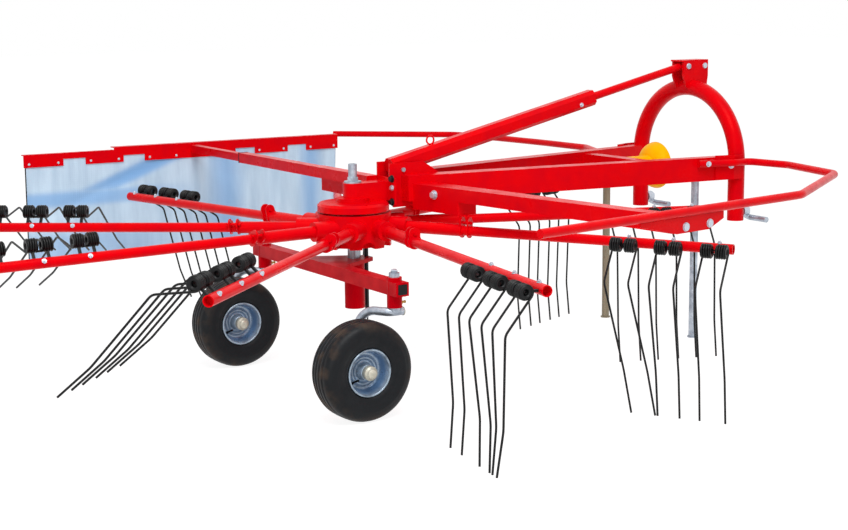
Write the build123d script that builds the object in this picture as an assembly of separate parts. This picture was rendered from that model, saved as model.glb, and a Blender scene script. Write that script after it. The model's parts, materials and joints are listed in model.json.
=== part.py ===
from build123d import *
import os
from math import acos, asin, atan2, cos, degrees, hypot, radians, sin, tan

# Single rotor hay rake for a tractor's three point linkage, parked on its stands.
# Machine frame, in millimetres: the rotor turns about Z at x = y = 0, +X is the way of
# travel (towards the tractor), +Y is the machine's left, +Z is up and z = 0 is the ground.
# The finished part is moved at the end so that its origin is under the middle of its box.

# ---------------------------------------------------------------- clearances
RUN = 0.3            # gap between pieces that move against each other
FIT = 0.3            # gap round a fixed piece that is slipped into or over another
PIN_FIT = 0.05       # gap round a pin in its own holes
THROUGH = 3000.0     # longer than any piece: for cuts that go right through

# ---------------------------------------------------------------- wheels and castors
TYRE_RADIUS = 205.0
TYRE_WIDTH = 160.0
TYRE_BEAD_WIDTH = 100.0
TREAD_WIDTH = 72.0
TREAD_CORNER = 30.0         # from the tread down to the widest part of the shoulder
TREAD_EDGE = 7.5            # from the tread down to the shoulder's outer corner
SHOULDER_INSET = 5.0        # of the shoulder, inside the tyre's widest part
WALL_BULGE = 6.0            # of the lower wall beyond a straight line
RIM_RADIUS = 104.0
RIM_WIDTH = 130.0
RIM_WALL = 6.0
RIM_DISH = 9.0              # how far the disc leans out from hub to rim
DISC_THICK = 10.0
HUB_RADIUS = 32.0
HUB_LENGTH = 120.0
STUB_AXLE_RADIUS = 15.0
AXLE_NUT_RADIUS = 26.0
AXLE_NUT_LENGTH = 14.0
AXLE_END = 12.0             # of the stub axle beyond the hub
CASTOR_X = -148.0
CASTOR_INSET = 63.0         # of each castor's pin from its end of the axle beam
CASTOR_TRAIL = 158.0
CASTOR_NOSE = 36.0          # of the castor's bar in front of its pin
CASTOR_TUBE_OD = 36.0
CASTOR_BOSS_RADIUS = 24.0
CASTOR_KNEE_1 = 20.0        # behind the pin, where the bar turns out
CASTOR_KNEE_2 = 90.0        # behind the pin, where the bar turns down
CASTOR_BENDS = [40.0, 70.0]
LEG_GAP = 12.0              # between the tyre's wall and the castor's leg
SOCKET_OD = 62.0
SOCKET_BOTTOM = 445.0
SOCKET_TOP = 569.0
TYRE_CLEAR = 35.0           # of the tyre's top under the socket
WHEEL_Z = SOCKET_BOTTOM - TYRE_CLEAR - TYRE_RADIUS
GROUND = WHEEL_Z - TYRE_RADIUS
PIVOT_RADIUS = 14.0
PIVOT_COLLAR_RADIUS = 22.0
PIVOT_COLLAR = 18.0
PIVOT_END = 26.0            # of the pin above its socket

# ---------------------------------------------------------------- axle and column
AXLE_BEAM_HEIGHT = 56.0
AXLE_BEAM_WIDTH = 60.0
AXLE_BEAM_HALF = 640.0
CASTOR_Y = AXLE_BEAM_HALF - CASTOR_INSET
AXLE_BEAM_Z = 526.0
COLUMN_OD = 57.0
COLUMN_BOTTOM = 372.0
SLEEVE_OD = 89.0
SLEEVE_BOTTOM = 332.0
GUSSET_THICK = 18.0
GUSSET_HALF = 140.0         # half width of the gusset along the axle beam
GUSSET_NOSE_HALF = 30.0     # half width of the gusset at the jack rod
GUSSET_EDGE = 16.0          # of the gusset in front of the jack rod
JACK_ROD_X = 62.0
JACK_ROD_OD = 18.0
JACK_ROD_BOTTOM = 300.0
JACK_PLATE = 9.0
JACK_PLATE_HALF = 42.0
JACK_PLATE_EDGE = 6.0       # of the plate behind the column and in front of the rod
JACK_PLATE_DROP = 5.0       # of the jack rod's top plate below the turning drum

# ---------------------------------------------------------------- rotor
ARM_COUNT = 9
FIRST_ARM_ANGLE = -139.07
ARM_OFFSET = 62.5           # of each arm's line beside the rotor's axis
ARM_Z = 698.0               # of the arms' lines where they pass the rotor's axis
ARM_DROOP = 0.38            # degrees, down towards the tips
ARM_OD = 42.0
ARM_WALL = 4.0
ARM_HOLLOW_END = 30.0       # of the arm's tube that is open at the tip
ARM_TIP = 1675.0
ARM_ROOT = 120.0
ARM_SOCKET_OD = 52.0
ARM_SOCKET_END = 500.0
DRUM_RADIUS = 165.0
DRUM_BOTTOM = 612.0
DRUM_TOP = 757.0
SCALLOP_RADIUS = 30.0
SCALLOP_DEPTH = 45.0
BEARING_OD = 84.0
BEARING_ROOT = 80.0
BEARING_END = 238.0
# How far each arm is turned about its own length by the cam, in degrees, arm by arm:
# 0 has the tines down at work, 60 has them lifted and trailing.
ARM_TWIST = [45.5, 0.0, 0.0, 0.0, 0.0, 0.0, 20.0, 60.0, 60.0]
CLIP_LUG = 6.0
CLIP_LUG_GAP = 28.0
CLIP_LUG_HALF = 25.0
CLIP_RISE = 34.0            # of the clip pin above the arm's middle
CLIP_PIN_RADIUS = 6.0

# ---------------------------------------------------------------- tines
TINES_FROM_TIP = [431.0, 245.0, 57.0]        # middle of each double tine, back from the arm's tip
TINE_SPREAD = 100.0                          # between the two legs of a double tine
TINE_WIRE = 9.0
COIL_OD = 60.0
COIL_LENGTH = 44.0
COIL_OFFSET = 76.0                           # coil's middle to the arm's middle
SPOOL_RADIUS = 12.0
SADDLE_WIDTH = 18.0                          # clamp between the two coils
SADDLE_HEIGHT = 30.0
# The lower corners of a leg, seen along the arm: back from the arm's middle, and up.
TINE_CORNERS = [(156.0, -142.0), (134.0, -498.0), (146.0, -670.0)]
# How far each leg leans outwards below its first corner, in degrees, from the arm's root to its tip:
# the tines stand as work has left them.
WORN = [3.0, 3.0, 3.0, 3.0, 3.0, 3.0]
LIFTED = [3.0, 3.0, 3.0, 2.0, 1.0, 1.0]
TINE_LEANS = [[3.0, 3.0, 3.0, 3.0, 2.0, 2.0], [0.0, 0.0, 7.0, 5.0, -2.0, -9.0],
              [13.0, 13.0, 5.0, 4.0, 3.3, 3.7], WORN, WORN, WORN, WORN, LIFTED, LIFTED]

# ---------------------------------------------------------------- rotor head
COVER_RADIUS = 157.0
COVER_BOTTOM = 765.0
COVER_EDGE = 36.0
COVER_CHAMFER = 10.0
DOME_RADIUS = 72.0
DOME_HEIGHT = 20.0
HEAD_TOP = 885.0
HEAD_WIDTH = 88.0
SPINDLE_TOP = 968.0
SPINDLE_OD = 38.0
SPINDLE_WALL = 6.0
WASHER_RADIUS = 38.0
WASHER = 8.0
NUT_RADIUS = 26.0
NUT = 16.0
SHAFT_Z = 845.0
HEAD_BORE = 90.0            # depth of the shaft's bore behind the bracket

# ---------------------------------------------------------------- hub bracket
BRACKET_GAP = 90.6          # between its two cheeks
BRACKET_PLATE = 10.0
BRACKET_REAR = 155.0
BRACKET_FRONT = 420.0
BRACKET_BOTTOM = 803.0
BRACKET_TOP = 962.0
CHEEK_BOTTOM = 768.0
CHEEK_INSET = 20.0          # of the cheeks' lower rear corner
CHEEK_FRONT_TOP = 905.0
CHEEK_SLOPE = 90.0          # length of the slope at the cheeks' front
WING_BOTTOM = 785.0
WING_TOP = 902.0
WING_LEFT = 564.0
WING_RIGHT = 95.0

# ---------------------------------------------------------------- frame
BEAM_BOTTOM = 797.0
BEAM_HEIGHT = 112.0
BEAM_WIDTH = 60.0
BEAM_REAR = 215.0
BEAM_SEAT = 175.0           # length that lies along the hub bracket
HOOP_X = 1943.8
HOOP_OD = 80.0
HOOP_HALF = 351.0
HOOP_BOTTOM = 592.0
HOOP_SPRING = 871.5         # where the legs end and the arch begins
LEG_PLATE = 8.0
LEG_PLATE_REAR = 149.0      # of its rear edge behind the hoop
LEG_PLATE_KINK = 119.0
LEG_PLATE_FLAT = 62.0
LEG_PLATE_EDGE = 2.0        # of its front edge behind the hoop's middle
LEG_PLATE_RISE = 8.0        # above the beam
LEG_PLATE_DROP = 4.0        # its lower edge above the beam's
CLEVIS_HALF_GAP = 32.0
CLEVIS_PLATE = 12.0
CLEVIS_REAR = 1872.0
CLEVIS_TAPER_REAR = 20.0
CLEVIS_TAPER_FRONT = 8.0
CLEVIS_TAPER_TOP = 50.0     # of the tapers' upper end below the pins
CLEVIS_PIN_RISE = 106.0     # pins above the crown of the hoop's centre line
CLEVIS_PIN_EDGE = 22.0      # clevis plate above and in front of the pins
CLEVIS_TOP_PLATE = 8.0
CLEVIS_PIN_R = 9.5
MAST_PIN_X = 1902.0
LINK_PIN_X = 2010.0
LINK_BORE_R = 9.75
PIN_HEAD = 8.0              # of a pin beyond the plates that carry it
MAST_WIDTH = 73.0
MAST_CHAMFER = 17.0
MAST_FOOT_X = 224.0
MAST_FOOT_Z = 932.0
MAST_FOOT_DROP = 18.0       # of the foot pin below the mast's middle line
MAST_FOOT_END = 35.0        # of the mast behind its foot pin
MAST_BUSH_OD = 44.0
MAST_BREAK_X = 1325.0
MAST_BAR_OD = 38.0
MAST_BAR_EYE_OD = 42.0
MAST_BAR_OVERLAP = 300.0    # of the bar inside the box
MAST_BORE_REACH = 15.0      # of the box's bore behind the bar
LOWER_PIN_R = 14.0
LOWER_PIN_Z = 600.0
LOWER_PIN_X = 2030.0
LOWER_PIN_LENGTH = 125.0
LOWER_PIN_RISE = 34.0       # of the crank's root above the pin
LOWER_PIN_BEND = 20.0
LOWER_PIN_ROOT = 24.0       # from the hoop leg's middle line to the pin's straight part
LOWER_PIN_SINK = 6.0        # of the crank's root into the hoop's wall

# ---------------------------------------------------------------- guards and outrigger
GUARD_OD = 34.0
GUARD_Z = 883.0
GUARD_SEAT_RIGHT = 1690.0
GUARD_SEAT_LEFT = [1560.0, 1665.0]
# The corners of the guards' middle lines beyond the frame, (x, y), with each bend's radius.
RIGHT_CORNERS = [((1995.0, -640.0), 60.0), ((1886.0, -1029.0), 80.0), ((1244.0, -1440.0), 120.0)]
RIGHT_END = (-215.0, -1640.0)
LEFT_CORNERS = [((1778.0, 600.0), 60.0), ((1770.0, 960.0), 2000.0), ((1738.0, 1345.0), 1500.0),
                ((1673.0, 1693.0), 150.0)]
LEFT_END = (1140.0, 2197.0)
GUARD_FRONT_X = 1962.0      # of the right guard where it turns in front of the hoop
GUARD_BEND = 40.0
GUARD_LEAD = 11.0           # of the right guard's first bend behind the leg plate
OUTRIGGER_TOP = 875.0
OUTRIGGER_ROOT = (225.0, 330.0)              # rear and front edge at the hub
OUTRIGGER_END = (470.0, 530.0)               # the same at the guard
OUTRIGGER_ROOT_BOTTOM = 822.0
OUTRIGGER_END_BOTTOM = 807.0
OUTRIGGER_WEB_DROP = 60.0                    # of the deep web beside the hub
OUTRIGGER_WEB_END = 400.0
END_PLATE = 8.0
# Lower edge of the plate along the guard, (x, z), from its rear end.
END_PLATE_EDGE = [(288.0, 851.0), (485.0, 805.0), (670.0, 805.0), (755.0, 839.0)]

# ---------------------------------------------------------------- drive and guard cone
PTO_R = 17.45
PTO_TIP_X = 1700.0
PTO_SHAFT_OD = 38.0
PTO_BEARING_X = 1535.0
SHAFT_ROOT = 60.0           # of the shaft inside the rotor head
CROSS_DEPTH = 60.0
CROSS_INSET = 10.0          # below and above, inside the beams' height
BELL_NECK_R = 52.0
BELL_MOUTH_R = 115.0
BELL_CLEAR = 6.0            # of the bell in front of the arms' tips, so that lifted tines pass behind it
BELL_LENGTH = 58.0
BELL_SHOULDER = (14.0, 38.0)      # a point of the bell's curve: in front of the neck, and out from it
BELL_WALL = 4.0

# ---------------------------------------------------------------- stands
STAND_OD = 38.0
STAND_TOP = 890.0
STAND_FOOT_R = 25.0
STAND_FOOT_THICK = 6.0
STAND_SLEEVE_OD = 50.0
STAND_SLEEVE_INSET = 15.0   # of the sleeve's top below the beam's
STAND_BRACKET = 32.0
STAND_BRACKET_INSET = 8.0   # of the bracket's edges inside the sleeve's ends
STAND_LIFT = 350.0
# name, x, y, side of the machine whose beam carries it, and the face of that beam: 1 outer, -1 inner
STANDS = [("right", 1808.0, -210.0, -1, -1), ("left", 1765.0, 413.0, 1, 1)]

# ---------------------------------------------------------------- swath curtain
RAIL_REAR = (-840.0, 1900.0, 921.4)          # near edge of the rail's top, at its rear end
RAIL_FRONT = (1070.0, 2030.0, 897.4)         # the same at its front end
RAIL_PLATE = 5.0
RAIL_WIDTH = 40.0
RAIL_FACE = 46.0            # depth of the rail's face between its tabs
RAIL_TAB_DEPTH = 81.0
RAIL_TAB = 215.0
RAIL_TABS = 6
RAIL_FLANGE = 160.0         # length of the plate where the curtain's arm is welded on
RAIL_SPLIT = 502.0          # length of the rear, smaller part of the rail
RAIL_STEP = 15.0
CURTAIN_HEIGHT = 574.0      # from the rail's top to the cloth's lower edge
CURTAIN_THICK = 12.0
CURTAIN_MARGIN = 10.0
CURTAIN_ARM_TOP = 902.5
CURTAIN_ARM_ROOT = 60.0
CURTAIN_ARM_SPLIT = 1350.0
CURTAIN_ARM_HEIGHT = 50.0
CURTAIN_ARM_WIDTH = 50.0
CURTAIN_ARM_WALL = 5.0
CURTAIN_ARM_OVERLAP = 620.0
CURTAIN_ARM_CAP = 60.0      # length of the closed root of the outer arm


# ---------------------------------------------------------------- small helpers
def rod(start, end, radius):
    """A solid round bar from one point to another."""
    along = Vector(*end) - Vector(*start)
    return extrude(Plane(origin=start, z_dir=along) * Circle(radius), along.length)


def tube(start, end, radius, wall):
    """A round tube, open at both ends."""
    along = Vector(*end) - Vector(*start)
    ring = Circle(radius) - Circle(radius - wall)
    return extrude(Plane(origin=start, z_dir=along) * ring, along.length)


def upright(x, y, radius):
    """A round cut right through at (x, y)."""
    return rod((x, y, -THROUGH), (x, y, THROUGH), radius)


def cross_bore(x, z, radius):
    """A round cut right across the machine at (x, z)."""
    return rod((x, -THROUGH, z), (x, THROUGH, z), radius)


def block(x0, x1, y0, y1, z0, z1):
    """A box between two corners."""
    size = (x1 - x0, y1 - y0, z1 - z0)
    middle = ((x0 + x1) / 2, (y0 + y1) / 2, (z0 + z1) / 2)
    return Pos(*middle) * Box(*size)


def slab(outline, z0, z1):
    """An outline in plan, raised from z0 to z1."""
    return Pos(0, 0, z0) * extrude(make_face(Polyline(*outline, close=True)), z1 - z0)


def side_plate(outline, y0, y1):
    """An outline in (x, z), made solid from y0 to y1."""
    plane = Plane(origin=(0, y0, 0), x_dir=(1, 0, 0), z_dir=(0, 1, 0))
    flat = make_face(Polyline(*[(x, -z) for x, z in outline], close=True))
    return extrude(plane * flat, y1 - y0)


def front_plate(outline, x0, x1):
    """An outline in (y, z), made solid from x0 to x1."""
    plane = Plane(origin=(x0, 0, 0), x_dir=(0, 1, 0), z_dir=(1, 0, 0))
    return extrude(plane * make_face(Polyline(*outline, close=True)), x1 - x0)


def bent_bar(points, bends, radius):
    """A round bar along straight runs joined by tangent bends."""
    path = FilletPolyline(*points, radius=bends)
    return sweep(Plane(origin=path @ 0, z_dir=path % 0) * Circle(radius), path=path)


NODES = {}


def node(name, *pieces):
    NODES[name] = pieces[0] if len(pieces) == 1 else Compound(list(pieces))


SIDES = [("right", -1), ("left", 1)]

# ---------------------------------------------------------------- castor wheels
WHEEL_X = CASTOR_X - CASTOR_TRAIL


def mirrored(half_line):
    """A closed outline (radius, width) from its half on the negative side."""
    return half_line + [(radius, -width) for radius, width in reversed(half_line)]


def tyre_outline():
    """Section of the tyre above the rim, (radius, width)."""
    half = TYRE_WIDTH / 2
    seat = RIM_RADIUS + FIT
    shoulder = TYRE_RADIUS - TREAD_CORNER
    wall = (seat + shoulder) / 2
    bulge = (TYRE_BEAD_WIDTH + TYRE_WIDTH) / 4 + WALL_BULGE
    return mirrored([(seat, -TYRE_BEAD_WIDTH / 2), ((seat + wall) / 2, -bulge), (wall, -half),
                     (shoulder, -half + SHOULDER_INSET),
                     (TYRE_RADIUS - TREAD_EDGE, -(half + TREAD_WIDTH / 2) / 2),
                     (TYRE_RADIUS, -TREAD_WIDTH / 2)])


def rim_outline():
    """Section of the dished disc wheel with its hub, (radius, width)."""
    half = RIM_WIDTH / 2
    hub = HUB_LENGTH / 2
    inner = RIM_RADIUS - RIM_WALL
    bore = STUB_AXLE_RADIUS + RUN
    rear = RIM_DISH - DISC_THICK / 2
    front = RIM_DISH + DISC_THICK / 2
    return [(bore, -hub), (HUB_RADIUS, -hub), (HUB_RADIUS, rear - RIM_DISH), (inner - DISC_THICK, rear),
            (inner, -half), (RIM_RADIUS, -half), (RIM_RADIUS, half), (inner, half),
            (inner - DISC_THICK, front), (HUB_RADIUS, front - RIM_DISH), (HUB_RADIUS, hub), (bore, hub)]


def turned(outline):
    """A section (radius, width) turned about the wheel's own axle, which lies along Y."""
    return revolve(make_face(Polyline(*outline, close=True)), Axis.Y)


def castor_leg(y):
    """One castor: a bar under its socket, bent out beside the tyre and down to the stub axle."""
    leg_y = y + TYRE_WIDTH / 2 + LEG_GAP + CASTOR_TUBE_OD / 2
    bar_z = SOCKET_BOTTOM - RUN - CASTOR_TUBE_OD / 2
    hub_near = y + HUB_LENGTH / 2 + RUN
    hub_far = y - HUB_LENGTH / 2 - RUN
    nut_end = hub_far - AXLE_NUT_LENGTH
    leg = bent_bar([(CASTOR_X + CASTOR_NOSE, y, bar_z), (CASTOR_X - CASTOR_KNEE_1, y, bar_z),
                    (CASTOR_X - CASTOR_KNEE_2, leg_y, bar_z), (WHEEL_X, leg_y, WHEEL_Z)],
                   CASTOR_BENDS, CASTOR_TUBE_OD / 2)
    leg += rod((CASTOR_X, y, bar_z), (CASTOR_X, y, SOCKET_TOP + PIVOT_END), PIVOT_RADIUS)
    leg += rod((CASTOR_X, y, SOCKET_TOP + RUN), (CASTOR_X, y, SOCKET_TOP + PIVOT_COLLAR), PIVOT_COLLAR_RADIUS)
    leg += rod((CASTOR_X, y, bar_z), (CASTOR_X, y, SOCKET_BOTTOM - RUN), CASTOR_BOSS_RADIUS)
    leg += rod((WHEEL_X, leg_y, WHEEL_Z), (WHEEL_X, nut_end - AXLE_END, WHEEL_Z), STUB_AXLE_RADIUS)
    leg += rod((WHEEL_X, leg_y + CASTOR_TUBE_OD / 2, WHEEL_Z), (WHEEL_X, hub_near, WHEEL_Z), CASTOR_BOSS_RADIUS)
    leg += rod((WHEEL_X, hub_far, WHEEL_Z), (WHEEL_X, nut_end, WHEEL_Z), AXLE_NUT_RADIUS)
    return leg


for side, s in SIDES:
    wheel = Pos(WHEEL_X, s * CASTOR_Y, WHEEL_Z)
    node(f"tyre_{side}", wheel * turned(tyre_outline()))
    node(f"rim_{side}", wheel * turned(rim_outline()))
    node(f"castor_leg_{side}", castor_leg(s * CASTOR_Y))

# ---------------------------------------------------------------- axle
AXLE_BEAM_TOP = AXLE_BEAM_Z + AXLE_BEAM_HEIGHT / 2
axle_rear = CASTOR_X - AXLE_BEAM_WIDTH / 2
axle_front = CASTOR_X + AXLE_BEAM_WIDTH / 2
axle_beam_bottom = AXLE_BEAM_TOP - AXLE_BEAM_HEIGHT
axle = block(axle_rear, axle_front, -AXLE_BEAM_HALF, AXLE_BEAM_HALF, axle_beam_bottom, AXLE_BEAM_TOP)
for s in (-1, 1):
    axle += rod((CASTOR_X, s * CASTOR_Y, SOCKET_BOTTOM), (CASTOR_X, s * CASTOR_Y, SOCKET_TOP), SOCKET_OD / 2)
    axle -= upright(CASTOR_X, s * CASTOR_Y, PIVOT_RADIUS + RUN)
node("axle_beam", axle)

# the sleeve slides on the column; a gusset level with the beam's top reaches forward to the jack rod
gusset = [(JACK_ROD_X + GUSSET_EDGE, -GUSSET_NOSE_HALF), (JACK_ROD_X + GUSSET_EDGE, GUSSET_NOSE_HALF),
          (axle_front, GUSSET_HALF), (axle_front, -GUSSET_HALF)]
sleeve = rod((0, 0, SLEEVE_BOTTOM), (0, 0, AXLE_BEAM_TOP), SLEEVE_OD / 2)
sleeve += slab(gusset, AXLE_BEAM_TOP - GUSSET_THICK, AXLE_BEAM_TOP)
sleeve += block(axle_front, 0, -GUSSET_NOSE_HALF, GUSSET_NOSE_HALF, axle_beam_bottom, AXLE_BEAM_TOP)
sleeve -= upright(0, 0, COLUMN_OD / 2 + RUN)
sleeve -= upright(JACK_ROD_X, 0, JACK_ROD_OD / 2 + RUN)
node("axle_sleeve", sleeve)

jack_plate_top = DRUM_BOTTOM - JACK_PLATE_DROP
jack = rod((JACK_ROD_X, 0, JACK_ROD_BOTTOM), (JACK_ROD_X, 0, jack_plate_top), JACK_ROD_OD / 2)
jack += block(-COLUMN_OD / 2 - JACK_PLATE_EDGE, JACK_ROD_X + JACK_ROD_OD / 2 + JACK_PLATE_EDGE,
              -JACK_PLATE_HALF, JACK_PLATE_HALF, jack_plate_top - JACK_PLATE, jack_plate_top)
node("jack_rod", jack - upright(0, 0, COLUMN_OD / 2 + FIT))

# ---------------------------------------------------------------- column and rotor head
node("column", rod((0, 0, COLUMN_BOTTOM), (0, 0, COVER_BOTTOM), COLUMN_OD / 2))

cover_top = COVER_BOTTOM + COVER_EDGE
cover = rod((0, 0, COVER_BOTTOM), (0, 0, cover_top), COVER_RADIUS)
cover = chamfer(cover.edges().group_by(Axis.Z)[-1], COVER_CHAMFER)
cover += rod((0, 0, cover_top), (0, 0, cover_top + DOME_HEIGHT), DOME_RADIUS)
cover += block(0, BRACKET_REAR, -HEAD_WIDTH / 2, HEAD_WIDTH / 2, cover_top, HEAD_TOP)
cover += rod((0, 0, cover_top), (0, 0, HEAD_TOP), HEAD_WIDTH / 2)
cover -= rod((BRACKET_REAR - HEAD_BORE, 0, SHAFT_Z), (THROUGH, 0, SHAFT_Z), PTO_SHAFT_OD / 2 + RUN)
node("rotor_head", cover)

spindle = rod((0, 0, HEAD_TOP), (0, 0, HEAD_TOP + WASHER), WASHER_RADIUS)
spindle += Pos(0, 0, HEAD_TOP + WASHER) * extrude(RegularPolygon(NUT_RADIUS, 6), NUT)
spindle += tube((0, 0, HEAD_TOP + WASHER + NUT), (0, 0, SPINDLE_TOP), SPINDLE_OD / 2, SPINDLE_WALL)
node("spindle_cap", spindle)


# ---------------------------------------------------------------- rotor drum
def arm_frame(angle, twist=0.0):
    """The frame of one tine arm: X outwards along it, turned about X by its twist."""
    spoke = Location((0, 0, ARM_Z), (0, 0, angle)) * Location((0, ARM_OFFSET, 0), (0, ARM_DROOP, 0))
    return spoke * Location((0, 0, 0), (-twist, 0, 0))


ARM_STEP = 360.0 / ARM_COUNT
ARM_ANGLES = [FIRST_ARM_ANGLE + ARM_STEP * k for k in range(ARM_COUNT)]
bearing_turn = degrees(asin(ARM_OFFSET / DRUM_RADIUS))      # from an arm's angle to where it leaves the drum
drum = rod((0, 0, DRUM_BOTTOM), (0, 0, DRUM_TOP), DRUM_RADIUS)
for angle in ARM_ANGLES:
    drum += arm_frame(angle) * rod((BEARING_ROOT, 0, 0), (BEARING_END, 0, 0), BEARING_OD / 2)
for angle in ARM_ANGLES:
    between = Location((0, 0, DRUM_BOTTOM), (0, 0, angle + bearing_turn + ARM_STEP / 2))
    drum -= between * rod((DRUM_RADIUS - SCALLOP_DEPTH, 0, 0), (BEARING_END, 0, 0), SCALLOP_RADIUS)
    drum -= arm_frame(angle) * rod((ARM_ROOT - RUN, 0, 0), (THROUGH, 0, 0), ARM_SOCKET_OD / 2 + RUN)
node("rotor_drum", drum - upright(0, 0, COLUMN_OD / 2 + RUN))


# ---------------------------------------------------------------- tine arms and tines
def clip_lug(x):
    """A rounded lug across the arm, with its base under the socket."""
    lug = Pos(x, 0, CLIP_RISE / 2) * Box(CLIP_LUG, 2 * CLIP_LUG_HALF, CLIP_RISE)
    lug += rod((x - CLIP_LUG / 2, 0, 0), (x + CLIP_LUG / 2, 0, 0), CLIP_LUG_HALF + CLIP_LUG)
    return lug + rod((x - CLIP_LUG / 2, 0, CLIP_RISE), (x + CLIP_LUG / 2, 0, CLIP_RISE), CLIP_LUG_HALF)


def tine_arm():
    """An arm along X: socket tube, two clip lugs with their pin, tine tube with an open end."""
    hollow = ARM_TIP - ARM_HOLLOW_END
    lugs = [ARM_SOCKET_END - CLIP_LUG / 2, ARM_SOCKET_END + CLIP_LUG / 2 + CLIP_LUG_GAP]
    arm = rod((ARM_ROOT, 0, 0), (ARM_SOCKET_END, 0, 0), ARM_SOCKET_OD / 2)
    arm += rod((ARM_SOCKET_END, 0, 0), (hollow, 0, 0), ARM_OD / 2)
    arm += tube((hollow, 0, 0), (ARM_TIP, 0, 0), ARM_OD / 2, ARM_WALL)
    arm += clip_lug(lugs[0]) + clip_lug(lugs[1])
    return arm + rod((lugs[0] - CLIP_LUG_GAP / 2, 0, CLIP_RISE), (lugs[1] + CLIP_LUG_GAP / 2, 0, CLIP_RISE),
                     CLIP_PIN_RADIUS)


def tine_leg(lean):
    """One leg of a double tine, of six-sided wire, leaving its coil at a tangent, leaning along the arm."""
    back, up = TINE_CORNERS[0]
    turn_radius = (COIL_OD - TINE_WIRE) / 2
    reach = hypot(back - COIL_OFFSET, up)
    angle = atan2(up, back - COIL_OFFSET) - acos(turn_radius / reach)
    start = (0, -COIL_OFFSET - turn_radius * cos(angle), turn_radius * sin(angle))
    corners = [start] + [((up - z) * tan(radians(lean)), -y, z) for y, z in TINE_CORNERS]
    path = Polyline(*corners)
    wire = Plane(origin=corners[0], z_dir=path % 0) * RegularPolygon(TINE_WIRE / 2, 6)
    return sweep(wire, path=path, transition=Transition.RIGHT)


def double_tine(station, leans):
    """Two coils on a spool clamped to the arm, each ending in a leg."""
    half = (TINE_SPREAD + TINE_WIRE) / 2
    clamp = COIL_OFFSET - ARM_OD / 2
    whole = Pos(station, -ARM_OD / 2 - clamp / 2, 0) * Box(SADDLE_WIDTH, clamp, SADDLE_HEIGHT)
    whole += rod((station - half, -COIL_OFFSET, 0), (station + half, -COIL_OFFSET, 0), SPOOL_RADIUS)
    for s, lean in zip((-1, 1), leans):
        near = station + s * (half - COIL_LENGTH)
        far = station + s * half
        whole += rod((near, -COIL_OFFSET, 0), (far, -COIL_OFFSET, 0), COIL_OD / 2)
        whole += Pos(station + s * TINE_SPREAD / 2, 0, 0) * tine_leg(lean)
    return whole


for k, (angle, twist, leans) in enumerate(zip(ARM_ANGLES, ARM_TWIST, TINE_LEANS), start=1):
    at = arm_frame(angle, twist)
    pairs = zip(TINES_FROM_TIP, leans[0::2], leans[1::2])
    node(f"tine_arm_{k}", at * tine_arm())
    node(f"tines_{k}", *[at * double_tine(ARM_TIP - back, (inner, outer)) for back, inner, outer in pairs])

# ---------------------------------------------------------------- headstock hoop
HOOP_CROWN = HOOP_SPRING + HOOP_HALF
right_foot = (HOOP_X, -HOOP_HALF, HOOP_BOTTOM)
right_spring = (HOOP_X, -HOOP_HALF, HOOP_SPRING)
left_spring = (HOOP_X, HOOP_HALF, HOOP_SPRING)
hoop_line = Line(right_foot, right_spring) + ThreePointArc(right_spring, (HOOP_X, 0, HOOP_CROWN), left_spring)
hoop_line += Line(left_spring, (HOOP_X, HOOP_HALF, HOOP_BOTTOM))
hoop = sweep(Plane(origin=right_foot, z_dir=(0, 0, 1)) * Circle(HOOP_OD / 2), path=hoop_line)
node("headstock_hoop", hoop)

# ---------------------------------------------------------------- hub bracket
BRACKET_HALF = BRACKET_GAP / 2 + BRACKET_PLATE
cheek = [(BRACKET_REAR, BRACKET_BOTTOM), (BRACKET_REAR + CHEEK_INSET, CHEEK_BOTTOM),
         (BRACKET_FRONT, CHEEK_BOTTOM), (BRACKET_FRONT, CHEEK_FRONT_TOP),
         (BRACKET_FRONT - CHEEK_SLOPE, BRACKET_TOP), (BRACKET_REAR, BRACKET_TOP)]
back_face = BRACKET_REAR + BRACKET_PLATE
hub = block(BRACKET_REAR, back_face, -BRACKET_HALF, BRACKET_HALF, BRACKET_BOTTOM, WING_TOP)
hub += block(BRACKET_REAR, back_face, BRACKET_HALF - BRACKET_PLATE, WING_LEFT, WING_BOTTOM, WING_TOP)
hub += block(BRACKET_REAR, back_face, -WING_RIGHT, -BRACKET_HALF + BRACKET_PLATE, WING_BOTTOM, WING_TOP)
for s in (-1, 1):
    inner, outer = sorted((s * BRACKET_GAP / 2, s * BRACKET_HALF))
    hub += side_plate(cheek, inner, outer)
hub -= cross_bore(MAST_FOOT_X, MAST_FOOT_Z, CLEVIS_PIN_R + PIN_FIT)
node("hub_bracket", hub - rod((0, 0, SHAFT_Z), (THROUGH, 0, SHAFT_Z), PTO_SHAFT_OD / 2 + RUN))

# ---------------------------------------------------------------- frame beams
BEAM_TOP = BEAM_BOTTOM + BEAM_HEIGHT
SEAT_FRONT = BEAM_REAR + BEAM_SEAT
BEAM_FRONT = HOOP_X - LEG_PLATE_EDGE
INNER_SLOPE = (HOOP_HALF - BEAM_WIDTH / 2 - BRACKET_HALF) / (HOOP_X - SEAT_FRONT)
OUTER_SLOPE = (HOOP_HALF - BEAM_WIDTH / 2 - BRACKET_HALF) / (HOOP_X - BEAM_REAR)


def beam_inner(x):
    """Half distance between the beams' inner faces at x."""
    return BRACKET_HALF + INNER_SLOPE * (x - SEAT_FRONT)


def beam_outer(x):
    """Half distance over the beams' outer faces at x."""
    return BRACKET_HALF + BEAM_WIDTH + OUTER_SLOPE * (x - BEAM_REAR)


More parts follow.
